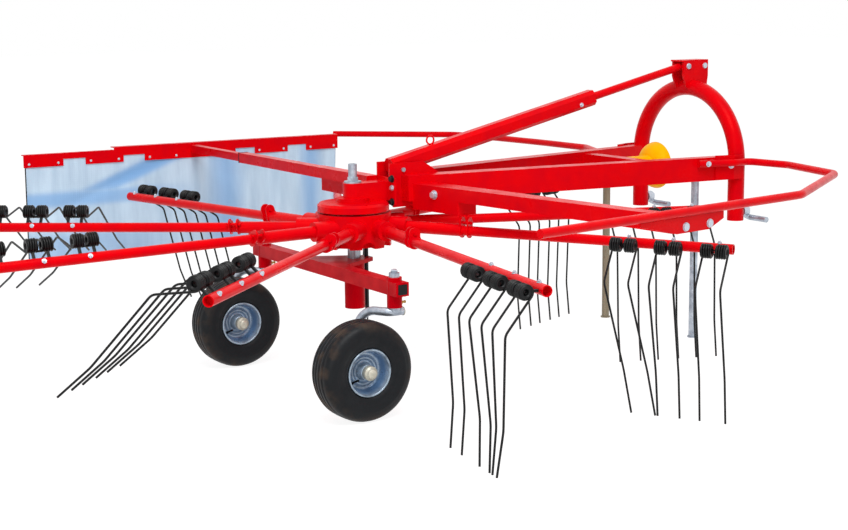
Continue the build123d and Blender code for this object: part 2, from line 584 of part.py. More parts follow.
leg_side = HOOP_HALF + HOOP_OD / 2 + FIT
plate_rear = HOOP_X - LEG_PLATE_REAR
plate_kink = HOOP_X - LEG_PLATE_KINK
plate_flat = HOOP_X - LEG_PLATE_FLAT
beams = {}
for side, s in SIDES:
    plan = [(BEAM_REAR, BRACKET_HALF), (SEAT_FRONT, BRACKET_HALF), (BEAM_FRONT, beam_inner(BEAM_FRONT)),
            (BEAM_FRONT, beam_outer(BEAM_FRONT)), (BEAM_REAR, beam_outer(BEAM_REAR))]
    leg_plate = [(plate_rear, beam_outer(plate_rear)), (plate_kink, beam_outer(plate_kink)),
                 (plate_flat, leg_side), (BEAM_FRONT, leg_side), (BEAM_FRONT, leg_side + LEG_PLATE),
                 (plate_flat, leg_side + LEG_PLATE), (plate_rear, beam_outer(plate_rear) + LEG_PLATE)]
    beam = slab([(x, s * y) for x, y in plan], BEAM_BOTTOM, BEAM_TOP)
    beam += slab([(x, s * y) for x, y in leg_plate], BEAM_BOTTOM + LEG_PLATE_DROP, BEAM_TOP + LEG_PLATE_RISE)
    beam -= upright(HOOP_X, s * HOOP_HALF, HOOP_OD / 2 + FIT)
    beams[side] = beam - hoop
    node(f"beam_{side}", beams[side])

# ---------------------------------------------------------------- top clevis
CLEVIS_PIN_Z = HOOP_CROWN + CLEVIS_PIN_RISE
CLEVIS_TOP = CLEVIS_PIN_Z + CLEVIS_PIN_EDGE
CLEVIS_FRONT = LINK_PIN_X + CLEVIS_PIN_EDGE
taper_top = CLEVIS_PIN_Z - CLEVIS_TAPER_TOP
clevis_cheek = [(CLEVIS_REAR + CLEVIS_TAPER_REAR, HOOP_CROWN), (CLEVIS_FRONT - CLEVIS_TAPER_FRONT, HOOP_CROWN),
                (CLEVIS_FRONT, taper_top), (CLEVIS_FRONT, CLEVIS_TOP), (CLEVIS_REAR, CLEVIS_TOP),
                (CLEVIS_REAR, taper_top)]
CLEVIS_HALF = CLEVIS_HALF_GAP + CLEVIS_PLATE
clevis = block(CLEVIS_REAR - CLEVIS_TOP_PLATE, CLEVIS_FRONT, -CLEVIS_HALF, CLEVIS_HALF,
               CLEVIS_TOP, CLEVIS_TOP + CLEVIS_TOP_PLATE)
clevis += side_plate(clevis_cheek, -CLEVIS_HALF, -CLEVIS_HALF_GAP) + side_plate(
    clevis_cheek, CLEVIS_HALF_GAP, CLEVIS_HALF)
clevis -= cross_bore(MAST_PIN_X, CLEVIS_PIN_Z, CLEVIS_PIN_R + PIN_FIT)
clevis -= cross_bore(LINK_PIN_X, CLEVIS_PIN_Z, LINK_BORE_R)
node("top_clevis", clevis - hoop)

# ---------------------------------------------------------------- mast
mast_line_foot = MAST_FOOT_Z + MAST_FOOT_DROP
MAST_SLOPE = (CLEVIS_PIN_Z - mast_line_foot) / (MAST_PIN_X - MAST_FOOT_X)


def mast_point(x):
    """The mast's middle line at x."""
    return (x, 0, mast_line_foot + MAST_SLOPE * (x - MAST_FOOT_X))


foot_end = Vector(*mast_point(MAST_FOOT_X - MAST_FOOT_END))
mast_run = Vector(*mast_point(MAST_BREAK_X)) - foot_end
mast_box = chamfer(Rectangle(MAST_WIDTH, MAST_WIDTH).vertices(), MAST_CHAMFER)
mast = extrude(Plane(origin=foot_end, x_dir=(0, 1, 0), z_dir=mast_run) * mast_box, mast_run.length)
mast += rod((MAST_FOOT_X, FIT - BRACKET_GAP / 2, MAST_FOOT_Z),
            (MAST_FOOT_X, BRACKET_GAP / 2 - FIT, MAST_FOOT_Z), MAST_BUSH_OD / 2)
bore_end = mast_point(MAST_BREAK_X - MAST_BAR_OVERLAP - MAST_BORE_REACH)
mast -= rod(bore_end, mast_point(MAST_PIN_X), MAST_BAR_OD / 2 + FIT)
node("mast_outer", mast - cross_bore(MAST_FOOT_X, MAST_FOOT_Z, CLEVIS_PIN_R + PIN_FIT))

bar = rod(mast_point(MAST_BREAK_X - MAST_BAR_OVERLAP), mast_point(MAST_PIN_X), MAST_BAR_OD / 2)
bar += rod((MAST_PIN_X, FIT - CLEVIS_HALF_GAP, CLEVIS_PIN_Z), (MAST_PIN_X, CLEVIS_HALF_GAP - FIT, CLEVIS_PIN_Z),
           MAST_BAR_EYE_OD / 2)
node("mast_bar", bar - cross_bore(MAST_PIN_X, CLEVIS_PIN_Z, CLEVIS_PIN_R + PIN_FIT))

pins = []
for x, z, reach in ((MAST_PIN_X, CLEVIS_PIN_Z, CLEVIS_HALF), (MAST_FOOT_X, MAST_FOOT_Z, BRACKET_HALF)):
    pins.append(rod((x, -reach - PIN_HEAD, z), (x, reach + PIN_HEAD, z), CLEVIS_PIN_R))
node("mast_pins", *pins)

# ---------------------------------------------------------------- lower link pins
cranks = []
for s in (-1, 1):
    y = s * HOOP_HALF
    root = (HOOP_X + HOOP_OD / 2 - LOWER_PIN_SINK, y, LOWER_PIN_Z + LOWER_PIN_RISE)
    pin_root = (LOWER_PIN_X, y - LOWER_PIN_ROOT, LOWER_PIN_Z)
    crank = bent_bar([root, (LOWER_PIN_X, y, LOWER_PIN_Z), pin_root], LOWER_PIN_BEND, LOWER_PIN_R)
    crank += rod(pin_root, (LOWER_PIN_X, y - LOWER_PIN_LENGTH, LOWER_PIN_Z), LOWER_PIN_R)
    cranks.append(crank - upright(HOOP_X, y, HOOP_OD / 2))
node("lower_link_pins", *cranks)

# ---------------------------------------------------------------- guards
# the guards lie along the beams' outer faces
seat_gap = (GUARD_OD / 2 + FIT) * hypot(1, OUTER_SLOPE)
saddle_y = leg_side + LEG_PLATE + GUARD_OD / 2 + FIT
bend_x = plate_rear - GUARD_LEAD
right_seat = [(GUARD_SEAT_RIGHT, -beam_outer(GUARD_SEAT_RIGHT) - seat_gap),
              (bend_x, -beam_outer(bend_x) - LEG_PLATE - seat_gap),
              (plate_flat - LEG_PLATE, -saddle_y), (GUARD_FRONT_X, -saddle_y)]
left_seat = [(x, beam_outer(x) + seat_gap) for x in GUARD_SEAT_LEFT]


def guard(seat, corners, end):
    """A guard tube along its seat on the beam and round its corners to its open end."""
    line = seat + [corner for corner, bend in corners] + [end]
    bends = [GUARD_BEND] * (len(seat) - 1) + [bend for corner, bend in corners]
    return bent_bar([(x, y, GUARD_Z) for x, y in line], bends, GUARD_OD / 2)


node("guard_right", guard(right_seat, RIGHT_CORNERS, RIGHT_END))
node("guard_left", guard(left_seat, LEFT_CORNERS, LEFT_END))

# ---------------------------------------------------------------- right outrigger
tail_x, tail_y = RIGHT_CORNERS[-1][0]
TAIL_SLOPE = (RIGHT_END[1] - tail_y) / (RIGHT_END[0] - tail_x)
tail_turn = Location((tail_x, tail_y, 0), (0, 0, degrees(atan2(TAIL_SLOPE, 1))))


def guard_line(x):
    """Y of the right guard's last straight run at x."""
    return tail_y + TAIL_SLOPE * (x - tail_x)


def edge_at(edge, y):
    """X of the outrigger's rear (0) or front (1) edge at y."""
    share = (y + BRACKET_HALF) / (guard_line(OUTRIGGER_END[edge]) + BRACKET_HALF)
    return OUTRIGGER_ROOT[edge] + share * (OUTRIGGER_END[edge] - OUTRIGGER_ROOT[edge])


arm_plan = [(OUTRIGGER_ROOT[0], -BRACKET_HALF), (OUTRIGGER_ROOT[1], -BRACKET_HALF),
            (OUTRIGGER_END[1], guard_line(OUTRIGGER_END[1])), (OUTRIGGER_END[0], guard_line(OUTRIGGER_END[0]))]
web_plan = [arm_plan[0], arm_plan[1], (edge_at(1, -OUTRIGGER_WEB_END), -OUTRIGGER_WEB_END),
            (edge_at(0, -OUTRIGGER_WEB_END), -OUTRIGGER_WEB_END)]
far_y = guard_line(OUTRIGGER_END[0])
arm_side = [(-BRACKET_HALF, OUTRIGGER_TOP), (-BRACKET_HALF, OUTRIGGER_ROOT_BOTTOM),
            (far_y, OUTRIGGER_END_BOTTOM), (far_y, OUTRIGGER_TOP)]
outrigger = slab(arm_plan, OUTRIGGER_END_BOTTOM, OUTRIGGER_TOP) & front_plate(arm_side, 0, THROUGH)
outrigger += slab(web_plan, OUTRIGGER_ROOT_BOTTOM - OUTRIGGER_WEB_DROP, OUTRIGGER_ROOT_BOTTOM)

stretch = hypot(1, TAIL_SLOPE)
guard_bottom = GUARD_Z - GUARD_OD / 2 - FIT
lower_edge = [((x - tail_x) * stretch, z) for x, z in END_PLATE_EDGE]
plate_line = lower_edge + [(lower_edge[-1][0], guard_bottom), (lower_edge[0][0], guard_bottom)]
outrigger += tail_turn * side_plate(plate_line, -END_PLATE / 2, END_PLATE / 2)
outrigger -= tail_turn * rod((-THROUGH, 0, GUARD_Z), (THROUGH, 0, GUARD_Z), GUARD_OD / 2 + FIT)
outrigger -= beams["right"]
node("outrigger_right", outrigger - block(0, THROUGH, -BRACKET_HALF - BEAM_WIDTH, 0, 0, BEAM_BOTTOM - FIT))

# ---------------------------------------------------------------- swath curtain
# the rail's frame: X along it from its rear end, Y outwards, Z up from its top
rail_line = Vector(*RAIL_FRONT) - Vector(*RAIL_REAR)
RAIL_LENGTH = rail_line.length
rail_turn = degrees(atan2(rail_line.Y, rail_line.X))
rail_dip = degrees(asin(-rail_line.Z / RAIL_LENGTH))
rail_at = Location(RAIL_REAR, (0, 0, rail_turn)) * Location((0, 0, 0), (0, rail_dip, 0))
arm_joint = (BRACKET_REAR - CURTAIN_ARM_WIDTH / 2 - RAIL_REAR[0]) * RAIL_LENGTH / rail_line.X
rail = block(RAIL_SPLIT, RAIL_LENGTH, -RAIL_PLATE, 0, -RAIL_FACE, 0)
rail += block(RAIL_SPLIT, RAIL_LENGTH, -RAIL_PLATE, RAIL_WIDTH, -RAIL_PLATE, 0)
rail += block(0, RAIL_SPLIT, -RAIL_PLATE, 0, -RAIL_FACE, -RAIL_STEP)
rail += block(0, RAIL_SPLIT, -RAIL_PLATE, RAIL_WIDTH - RAIL_STEP, -RAIL_STEP - RAIL_PLATE, -RAIL_STEP)
rail += block(arm_joint - RAIL_FLANGE / 2, arm_joint + RAIL_FLANGE / 2, -RAIL_PLATE, 0,
              -RAIL_TAB_DEPTH, -RAIL_FACE)
for k in range(RAIL_TABS):
    tab_x = k * (RAIL_LENGTH - RAIL_TAB) / (RAIL_TABS - 1)
    rail += block(tab_x, tab_x + RAIL_TAB, -RAIL_PLATE, 0, -RAIL_TAB_DEPTH, -RAIL_FACE)
node("curtain_rail", rail_at * rail)

cloth = block(CURTAIN_MARGIN, RAIL_LENGTH - CURTAIN_MARGIN, RUN, RUN + CURTAIN_THICK,
              -CURTAIN_HEIGHT, -RAIL_STEP - RAIL_PLATE - RUN)
node("curtain", rail_at * cloth)

arm_low = CURTAIN_ARM_TOP - CURTAIN_ARM_HEIGHT
arm_front = BRACKET_REAR
arm_rear = BRACKET_REAR - CURTAIN_ARM_WIDTH
slip = CURTAIN_ARM_WALL + RUN
outer_arm = block(arm_rear, arm_front, CURTAIN_ARM_ROOT, CURTAIN_ARM_SPLIT, arm_low, CURTAIN_ARM_TOP)
outer_arm -= block(arm_rear + CURTAIN_ARM_WALL, arm_front - CURTAIN_ARM_WALL,
                   CURTAIN_ARM_ROOT + CURTAIN_ARM_CAP, THROUGH,
                   arm_low + CURTAIN_ARM_WALL, CURTAIN_ARM_TOP - CURTAIN_ARM_WALL)
node("curtain_arm_sleeve", outer_arm)
inner_arm = block(arm_rear + slip, arm_front - slip, CURTAIN_ARM_SPLIT - CURTAIN_ARM_OVERLAP, THROUGH,
                  arm_low + slip, CURTAIN_ARM_TOP - slip)
node("curtain_arm", inner_arm - rail_at * block(-THROUGH, THROUGH, -RAIL_PLATE, THROUGH, -THROUGH, THROUGH))

# ---------------------------------------------------------------- drive shaft and guard cone
shaft = rod((BRACKET_REAR - SHAFT_ROOT, 0, SHAFT_Z), (PTO_BEARING_X, 0, SHAFT_Z), PTO_SHAFT_OD / 2)
node("input_shaft", shaft + rod((PTO_BEARING_X, 0, SHAFT_Z), (PTO_TIP_X, 0, SHAFT_Z), PTO_R))

cross_plan = [(x, s * beam_inner(x)) for x, s in ((PTO_BEARING_X - CROSS_DEPTH, -1), (PTO_BEARING_X, -1),
                                                  (PTO_BEARING_X, 1), (PTO_BEARING_X - CROSS_DEPTH, 1))]
cross = slab(cross_plan, BEAM_BOTTOM + CROSS_INSET, BEAM_TOP - CROSS_INSET)
node("front_cross_member", cross - rod((0, 0, SHAFT_Z), (THROUGH, 0, SHAFT_Z), PTO_SHAFT_OD / 2 + RUN))

neck_end = ARM_TIP + BELL_CLEAR
mouth_x = neck_end + BELL_LENGTH


def bell(inset):
    """The guard filled up to its shaft, inside its surface by the inset: a neck and a round bell."""
    neck_r = BELL_NECK_R - inset
    mouth_r = BELL_MOUTH_R - inset
    neck_x = neck_end + inset
    shoulder = (neck_x + BELL_SHOULDER[0], neck_r + BELL_SHOULDER[1])
    edge = Polyline((mouth_x, mouth_r), (mouth_x, 0), (PTO_BEARING_X, 0), (PTO_BEARING_X, neck_r),
                    (neck_x, neck_r))
    curve = ThreePointArc((neck_x, neck_r), shoulder, (mouth_x, mouth_r))
    return Pos(0, 0, SHAFT_Z) * revolve(make_face(edge + curve), Axis.X)


node("pto_guard", bell(0) - bell(BELL_WALL))

# ---------------------------------------------------------------- stands
sleeves = []
sleeve_top = BEAM_TOP - STAND_SLEEVE_INSET
for name, x, y, beam_side, face in STANDS:
    node(f"stand_{name}", rod((x, y, GROUND), (x, y, GROUND + STAND_FOOT_THICK), STAND_FOOT_R)
         + rod((x, y, GROUND), (x, y, STAND_TOP), STAND_OD / 2))
    beam_face = beam_side * (beam_outer(x) if face > 0 else beam_inner(x))
    near, far = sorted((y, beam_face - face * beam_side * BEAM_WIDTH / 2))
    sleeve = rod((x, y, BEAM_BOTTOM), (x, y, sleeve_top), STAND_SLEEVE_OD / 2)
    sleeve += block(x - STAND_BRACKET / 2, x + STAND_BRACKET / 2, near, far,
                    BEAM_BOTTOM + STAND_BRACKET_INSET, sleeve_top - STAND_BRACKET_INSET)
    sleeve -= beams["left" if beam_side > 0 else "right"]
    sleeves.append(sleeve - upright(x, y, STAND_OD / 2 + RUN))
node("stand_sleeves", *sleeves)

# ---------------------------------------------------------------- write the nodes
boxes = [shape.bounding_box() for shape in NODES.values()]
low = [min(getattr(box.min, axis) for box in boxes) for axis in "XYZ"]
high = [max(getattr(box.max, axis) for box in boxes) for axis in "XYZ"]
SHIFT = (-(low[0] + high[0]) / 2, -(low[1] + high[1]) / 2, -low[2])
os.makedirs("parts", exist_ok=True)
for name, shape in NODES.items():
    export_step(Pos(*SHIFT) * shape, f"parts/{name}.step")
print("moved by", [round(v, 3) for v in SHIFT], "nodes", len(NODES))
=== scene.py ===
import json
import math

import bmesh
import bpy
from mathutils import Matrix, Vector


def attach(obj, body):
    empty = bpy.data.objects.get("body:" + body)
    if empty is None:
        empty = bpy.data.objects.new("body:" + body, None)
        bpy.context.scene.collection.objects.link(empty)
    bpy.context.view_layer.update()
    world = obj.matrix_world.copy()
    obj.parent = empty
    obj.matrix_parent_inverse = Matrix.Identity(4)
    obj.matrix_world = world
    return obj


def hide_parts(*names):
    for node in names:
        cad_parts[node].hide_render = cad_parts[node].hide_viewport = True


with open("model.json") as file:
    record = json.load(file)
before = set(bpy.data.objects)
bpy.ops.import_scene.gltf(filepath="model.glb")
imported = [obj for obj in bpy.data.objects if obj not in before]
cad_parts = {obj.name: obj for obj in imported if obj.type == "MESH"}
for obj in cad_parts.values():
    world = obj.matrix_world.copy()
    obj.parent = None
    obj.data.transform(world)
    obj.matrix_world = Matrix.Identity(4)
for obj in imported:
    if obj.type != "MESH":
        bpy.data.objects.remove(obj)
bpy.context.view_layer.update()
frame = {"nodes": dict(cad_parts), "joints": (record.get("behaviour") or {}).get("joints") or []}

# ------------------------------------------------------------------ place and camera
# The rake stands parked on its wheels and stands, on a pale studio floor. Lengths are the
# machine's own: millimetres from the ground under the rotor's axis, +X towards the tractor.
JOINTS = {joint["name"]: joint for joint in frame["joints"]}
ROTOR_CENTRE = Vector(JOINTS["rotor_spin"]["pos_m"])
AXIS_FOOT = Vector((ROTOR_CENTRE.x, ROTOR_CENTRE.y, 0.0))
MM = 0.001


def at(x, y, z):
    """A point of the machine, from millimetres, as Blender has it."""
    return AXIS_FOOT + Vector((x, y, z)) * MM


CAMERA_PLACE = (-3317.0, -5757.0, 1682.0)
CAMERA_YAW = 0.5689                                 # radians, from the machine's left towards the tractor
CAMERA_DIP = 0.1737                                 # downwards
CAMERA_ROLL = -0.0108
CAMERA_LENS = 64.97                                 # millimetres, as the sensor's width
SENSOR_WIDTH = 36.0

forward = Vector((math.sin(CAMERA_YAW) * math.cos(CAMERA_DIP), math.cos(CAMERA_YAW) * math.cos(CAMERA_DIP),
                  -math.sin(CAMERA_DIP)))
level_right = Vector((math.cos(CAMERA_YAW), -math.sin(CAMERA_YAW), 0.0))
level_up = level_right.cross(forward)
camera_right = level_right * math.cos(CAMERA_ROLL) + level_up * math.sin(CAMERA_ROLL)
camera_up = level_up * math.cos(CAMERA_ROLL) - level_right * math.sin(CAMERA_ROLL)

collection = bpy.context.scene.collection
camera = bpy.data.objects.new("camera", bpy.data.cameras.new("camera"))
camera.data.lens = CAMERA_LENS
camera.data.sensor_width = SENSOR_WIDTH
camera.matrix_world = Matrix.Translation(at(*CAMERA_PLACE)) @ Matrix(
    (camera_right, camera_up, -forward)).transposed().to_4x4()
collection.objects.link(camera)
bpy.context.scene.camera = camera
bpy.context.scene.view_settings.view_transform = "Standard"


# ------------------------------------------------------------------ studio
# A white sweep under soft daylight: one broad lamp overhead, a second low on the near side.
# The camera and the gloss see plain white; the floor keeps a faint shadow.
def linear(hex_colour):
    """A socket's linear colour from an sRGB hex value."""
    channels = [int(hex_colour[k:k + 2], 16) / 255 for k in (1, 3, 5)]
    return tuple(c / 12.92 if c <= 0.04045 else ((c + 0.055) / 1.055) ** 2.4 for c in channels) + (1.0,)


def feed(tree, node, inputs):
    """Gives a node's inputs their values, or links them where the value is another node's output."""
    for socket, value in inputs.items():
        if isinstance(value, bpy.types.NodeSocket):
            tree.links.new(value, node.inputs[socket])
        else:
            node.inputs[socket].default_value = value


def add(tree, kind, inputs=None, **settings):
    """Adds a node with its settings and its inputs."""
    node = tree.nodes.new(kind)
    for name, value in settings.items():
        setattr(node, name, value)
    feed(tree, node, inputs or {})
    return node


WORLD_STRENGTH = 0.42
world = bpy.data.worlds.new("white_studio")
world.use_nodes = True
bpy.context.scene.world = world
sky = world.node_tree
seen = add(sky, "ShaderNodeLightPath")
either = add(sky, "ShaderNodeMath", {0: seen.outputs["Is Camera Ray"], 1: seen.outputs["Is Glossy Ray"]},
             operation="MAXIMUM")
plain = add(sky, "ShaderNodeMath", {0: either.outputs[0], 1: seen.outputs["Is Transmission Ray"]},
            operation="MAXIMUM")
strength = add(sky, "ShaderNodeMapRange", {"Value": plain.outputs[0], "To Min": WORLD_STRENGTH,
                                           "To Max": 1.0})
feed(sky, sky.nodes["Background"], {"Color": (1, 1, 1, 1), "Strength": strength.outputs["Result"]})


def lamp(name, place, target, size, watts):
    """A square soft lamp aimed at a point of the machine."""
    light = bpy.data.lights.new(name, "AREA")
    light.size = size
    light.energy = watts
    holder = bpy.data.objects.new(name, light)
    holder.location = at(*place)
    holder.rotation_euler = (at(*target) - at(*place)).to_track_quat("-Z", "Y").to_euler()
    collection.objects.link(holder)


lamp("overhead", (-1500.0, -3500.0, 6500.0), (200.0, 0.0, 600.0), 4.5, 400.0)
lamp("near_side", (-5500.0, -5000.0, 2500.0), (0.0, 0.0, 700.0), 3.0, 70.0)

FLOOR_REACH = 40.0                                  # metres each way
FLOOR_CORNERS = [(-FLOOR_REACH, -FLOOR_REACH, 0), (FLOOR_REACH, -FLOOR_REACH, 0),
                 (FLOOR_REACH, FLOOR_REACH, 0), (-FLOOR_REACH, FLOOR_REACH, 0)]
floor_mesh = bpy.data.meshes.new("floor")
floor_mesh.from_pydata(FLOOR_CORNERS, [], [(0, 1, 2, 3)])
floor = bpy.data.objects.new("floor", floor_mesh)
collection.objects.link(floor)
FLOOR_SHADOW = 0.3                                  # share of the real shadow that the camera sees
FLOOR_WHITE = 0.92
white_floor = bpy.data.materials.new("white_floor_paint")
white_floor.use_nodes = True
tree = white_floor.node_tree
seen = add(tree, "ShaderNodeLightPath")
either = add(tree, "ShaderNodeMath", {0: seen.outputs["Is Camera Ray"], 1: seen.outputs["Is Glossy Ray"]},
             operation="MAXIMUM")
share = add(tree, "ShaderNodeMath", {0: either.outputs[0], 1: 1.0 - FLOOR_SHADOW}, operation="MULTIPLY")
# the glow that brings open floor to plain white
OPEN_GLOW = (1.0 - FLOOR_SHADOW * FLOOR_WHITE * WORLD_STRENGTH) / (1.0 - FLOOR_SHADOW)
glow = add(tree, "ShaderNodeEmission", {"Color": (1, 1, 1, 1), "Strength": OPEN_GLOW})
feed(tree, tree.nodes["Principled BSDF"], {"Base Color": (FLOOR_WHITE, FLOOR_WHITE, FLOOR_WHITE, 1.0),
                                           "Roughness": 0.9})
blend = add(tree, "ShaderNodeMixShader", {0: share.outputs[0], 1: tree.nodes["Principled BSDF"].outputs[0],
                                          2: glow.outputs[0]})
feed(tree, tree.nodes["Material Output"], {"Surface": blend.outputs[0]})
floor_mesh.materials.append(white_floor)


# ------------------------------------------------------------------ tyres
# Two 16x6.50-8 implement tyres moulded in natural rubber: four grooves leave five plain ribs,
# with a rounded shoulder and moulded rings on the walls. Each is one turned shell, on its rim.
def material(name):
    """A new material, with its node tree, its shader and the piece's Object coordinates."""
    new = bpy.data.materials.new(name)
    new.use_nodes = True
    nodes = new.node_tree
    return new, nodes, nodes.nodes["Principled BSDF"], add(nodes, "ShaderNodeTexCoord").outputs["Object"]


def mixed(tree, share, first, second):
    """The colour output of a mix of two colours or colour outputs, which are its sockets 6 and 7."""
    return add(tree, "ShaderNodeMix", {0: share, 6: first, 7: second}, data_type="RGBA").outputs[2]


def ramp(tree, value, low, high, to_low=0.0, to_high=1.0):
    """A value remapped from low..high to to_low..to_high, held at its ends."""
    return add(tree, "ShaderNodeMapRange", {"Value": value, "From Min": low, "From Max": high,
                                            "To Min": to_low, "To Max": to_high}).outputs["Result"]


def noise(tree, place, feature_mm, detail=3.0):
    """A noise value whose blobs are about feature_mm across."""
    return add(tree, "ShaderNodeTexNoise", {"Vector": place, "Scale": 1.0 / (feature_mm * MM),
                                            "Detail": detail}).outputs["Fac"]


def bumped(tree, height, depth_mm, strength=1.0):
    """The normal output of a bump of that depth."""
    return add(tree, "ShaderNodeBump", {"Height": height, "Distance": depth_mm * MM,
                                        "Strength": strength}).outputs["Normal"]


def shown(name, mesh, finish, body, replaced=()):
    """Links a finished mesh as a piece that rides on a body, with its finish."""
    piece = bpy.data.objects.new(name, mesh)
    collection.objects.link(piece)
    if not mesh.materials:
        mesh.materials.append(finish)
    if replaced:
        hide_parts(*replaced)
    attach(piece, body)
    return piece


POLE_MERGE = 0.001                                  # closes the poles of a turned piece


def turned_shell(name, outline, centre, axis, steps):
    """A closed section (radius, along) in millimetres turned round an axis through a centre."""
    axis = Vector(axis).normalized()
    side = axis.orthogonal().normalized()
    other = axis.cross(side)
    made = bmesh.new()
    rings = []
    for step in range(steps):
        turn = math.tau * step / steps
        out = side * math.cos(turn) + other * math.sin(turn)
        rings.append([made.verts.new(centre + (out * radius + axis * along) * MM)
                      for radius, along in outline])
    for step, ring in enumerate(rings):
        following = rings[(step + 1) % steps]
        for k in range(len(outline)):
            after = (k + 1) % len(outline)
            made.faces.new((ring[k], ring[after], following[after], following[k]))
    bmesh.ops.remove_doubles(made, verts=made.verts, dist=POLE_MERGE * MM)
    bmesh.ops.delete(made, geom=[edge for edge in made.edges if not edge.link_faces], context="EDGES")
    bmesh.ops.recalc_face_normals(made, faces=made.faces)
    for face in made.faces:
        face.smooth = True
    mesh = bpy.data.meshes.new(name)
    made.to_mesh(mesh)
    made.free()
    return mesh


TYRE_RADIUS = 205.0
TYRE_HALF = 80.0
BEAD_RADIUS = 97.0
BEAD_HALF = 56.0
TREAD_HALF = 52.0
TREAD_CROWN = 3.0                                   # the tread's fall from its middle to its edge
GROOVES = (34.0, 11.5, -11.5, -34.0)
GROOVE_WIDTH = 7.0
GROOVE_DEPTH = 7.0
GROOVE_EDGE = 1.0                                   # rounding of a rib's edge
TYRE_STEPS = 160
BROWN_PATCH_REACH = 60.0                                  # how far in from the tread the brown patches reach


def tyre_section():
    """The tyre's section: from one bead over the wall and the ribbed tread to the other bead."""
    wall = [(BEAD_RADIUS, BEAD_HALF), (BEAD_RADIUS + 3, 62), (BEAD_RADIUS + 12, 67), (BEAD_RADIUS + 20, 71),
            (BEAD_RADIUS + 23, 70.5), (BEAD_RADIUS + 30, 74.5), (BEAD_RADIUS + 46, 78.5),
            (BEAD_RADIUS + 58, TYRE_HALF), (BEAD_RADIUS + 62, TYRE_HALF), (BEAD_RADIUS + 65, 78.5),
            (BEAD_RADIUS + 76, 76.5), (TYRE_RADIUS - 21, 71), (TYRE_RADIUS - 15, 67), (TYRE_RADIUS - 9, 60),
            (TYRE_RADIUS - 5.5, TREAD_HALF)]
    lip, edge = GROOVE_WIDTH / 2, GROOVE_EDGE
    profile = [(lip + edge, 0.0), (lip, edge), (lip - edge, GROOVE_DEPTH),
               (edge - lip, GROOVE_DEPTH), (-lip, edge), (-lip - edge, 0.0)]
    tread = []
    for groove in GROOVES:
        crown = TYRE_RADIUS - TREAD_CROWN * (groove / TREAD_HALF) ** 2
        tread += [(crown - depth, groove + along) for along, depth in profile]
    return wall + tread + [(radius, -along) for radius, along in reversed(wall)]


rubber, tree, shader, place = material("natural_rubber")
# rubber greyed by weather, with brown noise patches over the tread and the shoulders, strongest at the tread
radial = add(tree, "ShaderNodeVertexColor", layer_name="tread").outputs["Color"]
brown_patch_noise = noise(tree, place, 60.0, 6.0)
patches = add(tree, "ShaderNodeMath", {0: ramp(tree, brown_patch_noise, 0.45, 0.68, 0.0, 0.55), 1: radial},
              operation="MULTIPLY").outputs[0]
weather = mixed(tree, noise(tree, place, 25.0), linear("#090B0E"), linear("#13161A"))
feed(tree, shader, {"Base Color": mixed(tree, patches, weather, linear("#5D4B3D")),
                    "Roughness": ramp(tree, brown_patch_noise, 0.3, 0.7, 0.4, 0.65), "Specular IOR Level": 0.2,
                    "Normal": bumped(tree, noise(tree, place, 4.0), 0.5)})
for side in ("right", "left"):
    hub = Vector(JOINTS[f"wheel_spin_{side}"]["pos_m"])
    mesh = turned_shell(f"tyre_{side}_ribbed", tyre_section(), hub, (0, 1, 0), TYRE_STEPS)
    layer = mesh.color_attributes.new("tread", "BYTE_COLOR", "POINT")
    for vertex in mesh.vertices:
        away = vertex.co - hub
        outward = (math.hypot(away.x, away.z) / MM - (TYRE_RADIUS - BROWN_PATCH_REACH)) / BROWN_PATCH_REACH
        tread_share = max(0.0, min(1.0, outward)) ** 2
        layer.data[vertex.index].color = (tread_share, tread_share, tread_share, 1.0)
    shown(f"tyre_{side}_ribbed", mesh, rubber, f"wheel_{side}", [f"tyre_{side}"])

# ------------------------------------------------------------------ wheels
# Dished wheels rolled and pressed from sheet, sprayed with a blue silver enamel: a curled flange,
# a stepped well, a deep disc with one raised ring, a hub with its zinc dust cap, and the valve.
RIM_SECTION = [(96.5, -59.0), (98.5, -62.0), (97.5, -65.0), (94.0, -66.5), (91.0, -65.0), (89.5, -60.0),
               (87.0, -50.0), (84.0, -44.0), (82.0, -36.0), (80.0, -18.0), (77.0, -10.0), (70.0, -6.0),
               (63.0, -8.0), (58.0, -15.0), (54.0, -17.0), (50.0, -15.0), (46.0, -8.0), (36.0, -8.0),
               (33.0, -14.0), (32.0, -48.0), (30.0, -50.0), (16.0, -50.0), (16.0, 60.0), (32.0, 60.0),
               (33.0, 4.0), (46.0, 2.0), (70.0, 4.0), (80.0, 0.0), (86.0, -12.0), (88.0, -30.0),
               (92.0, 30.0), (94.0, 56.0), (97.0, 64.0), (99.0, 62.0), (96.5, 54.0), (95.0, 20.0),
               (93.0, -30.0), (95.0, -50.0)]
CAP_SECTION = [(0.0, -91.0), (9.0, -90.5), (17.0, -88.0), (21.0, -83.0), (22.0, -76.0), (28.5, -74.0),
               (29.5, -71.0), (29.5, -50.5), (27.5, -50.5), (27.5, -70.0), (0.0, -89.5)]
RIM_STEPS = 96
CAP_STEPS = 32
WELL_RADIUS, WELL_REACH = 81.0, 9.0                 # where the painted shade of the well is bluest, and how far it fades
HUB_FOOT_RADIUS, HUB_FOOT_REACH, HUB_FOOT_SHARE = 47.0, 5.0, 0.7    # the same painted shade where the ring falls to the hub


def dress(finish, *nodes):
    """Gives model nodes their finish."""
    for name in nodes:
        for slot in frame["nodes"][name].material_slots:
            slot.material = finish


silver, tree, shader, place = material("silver_wheel_enamel")
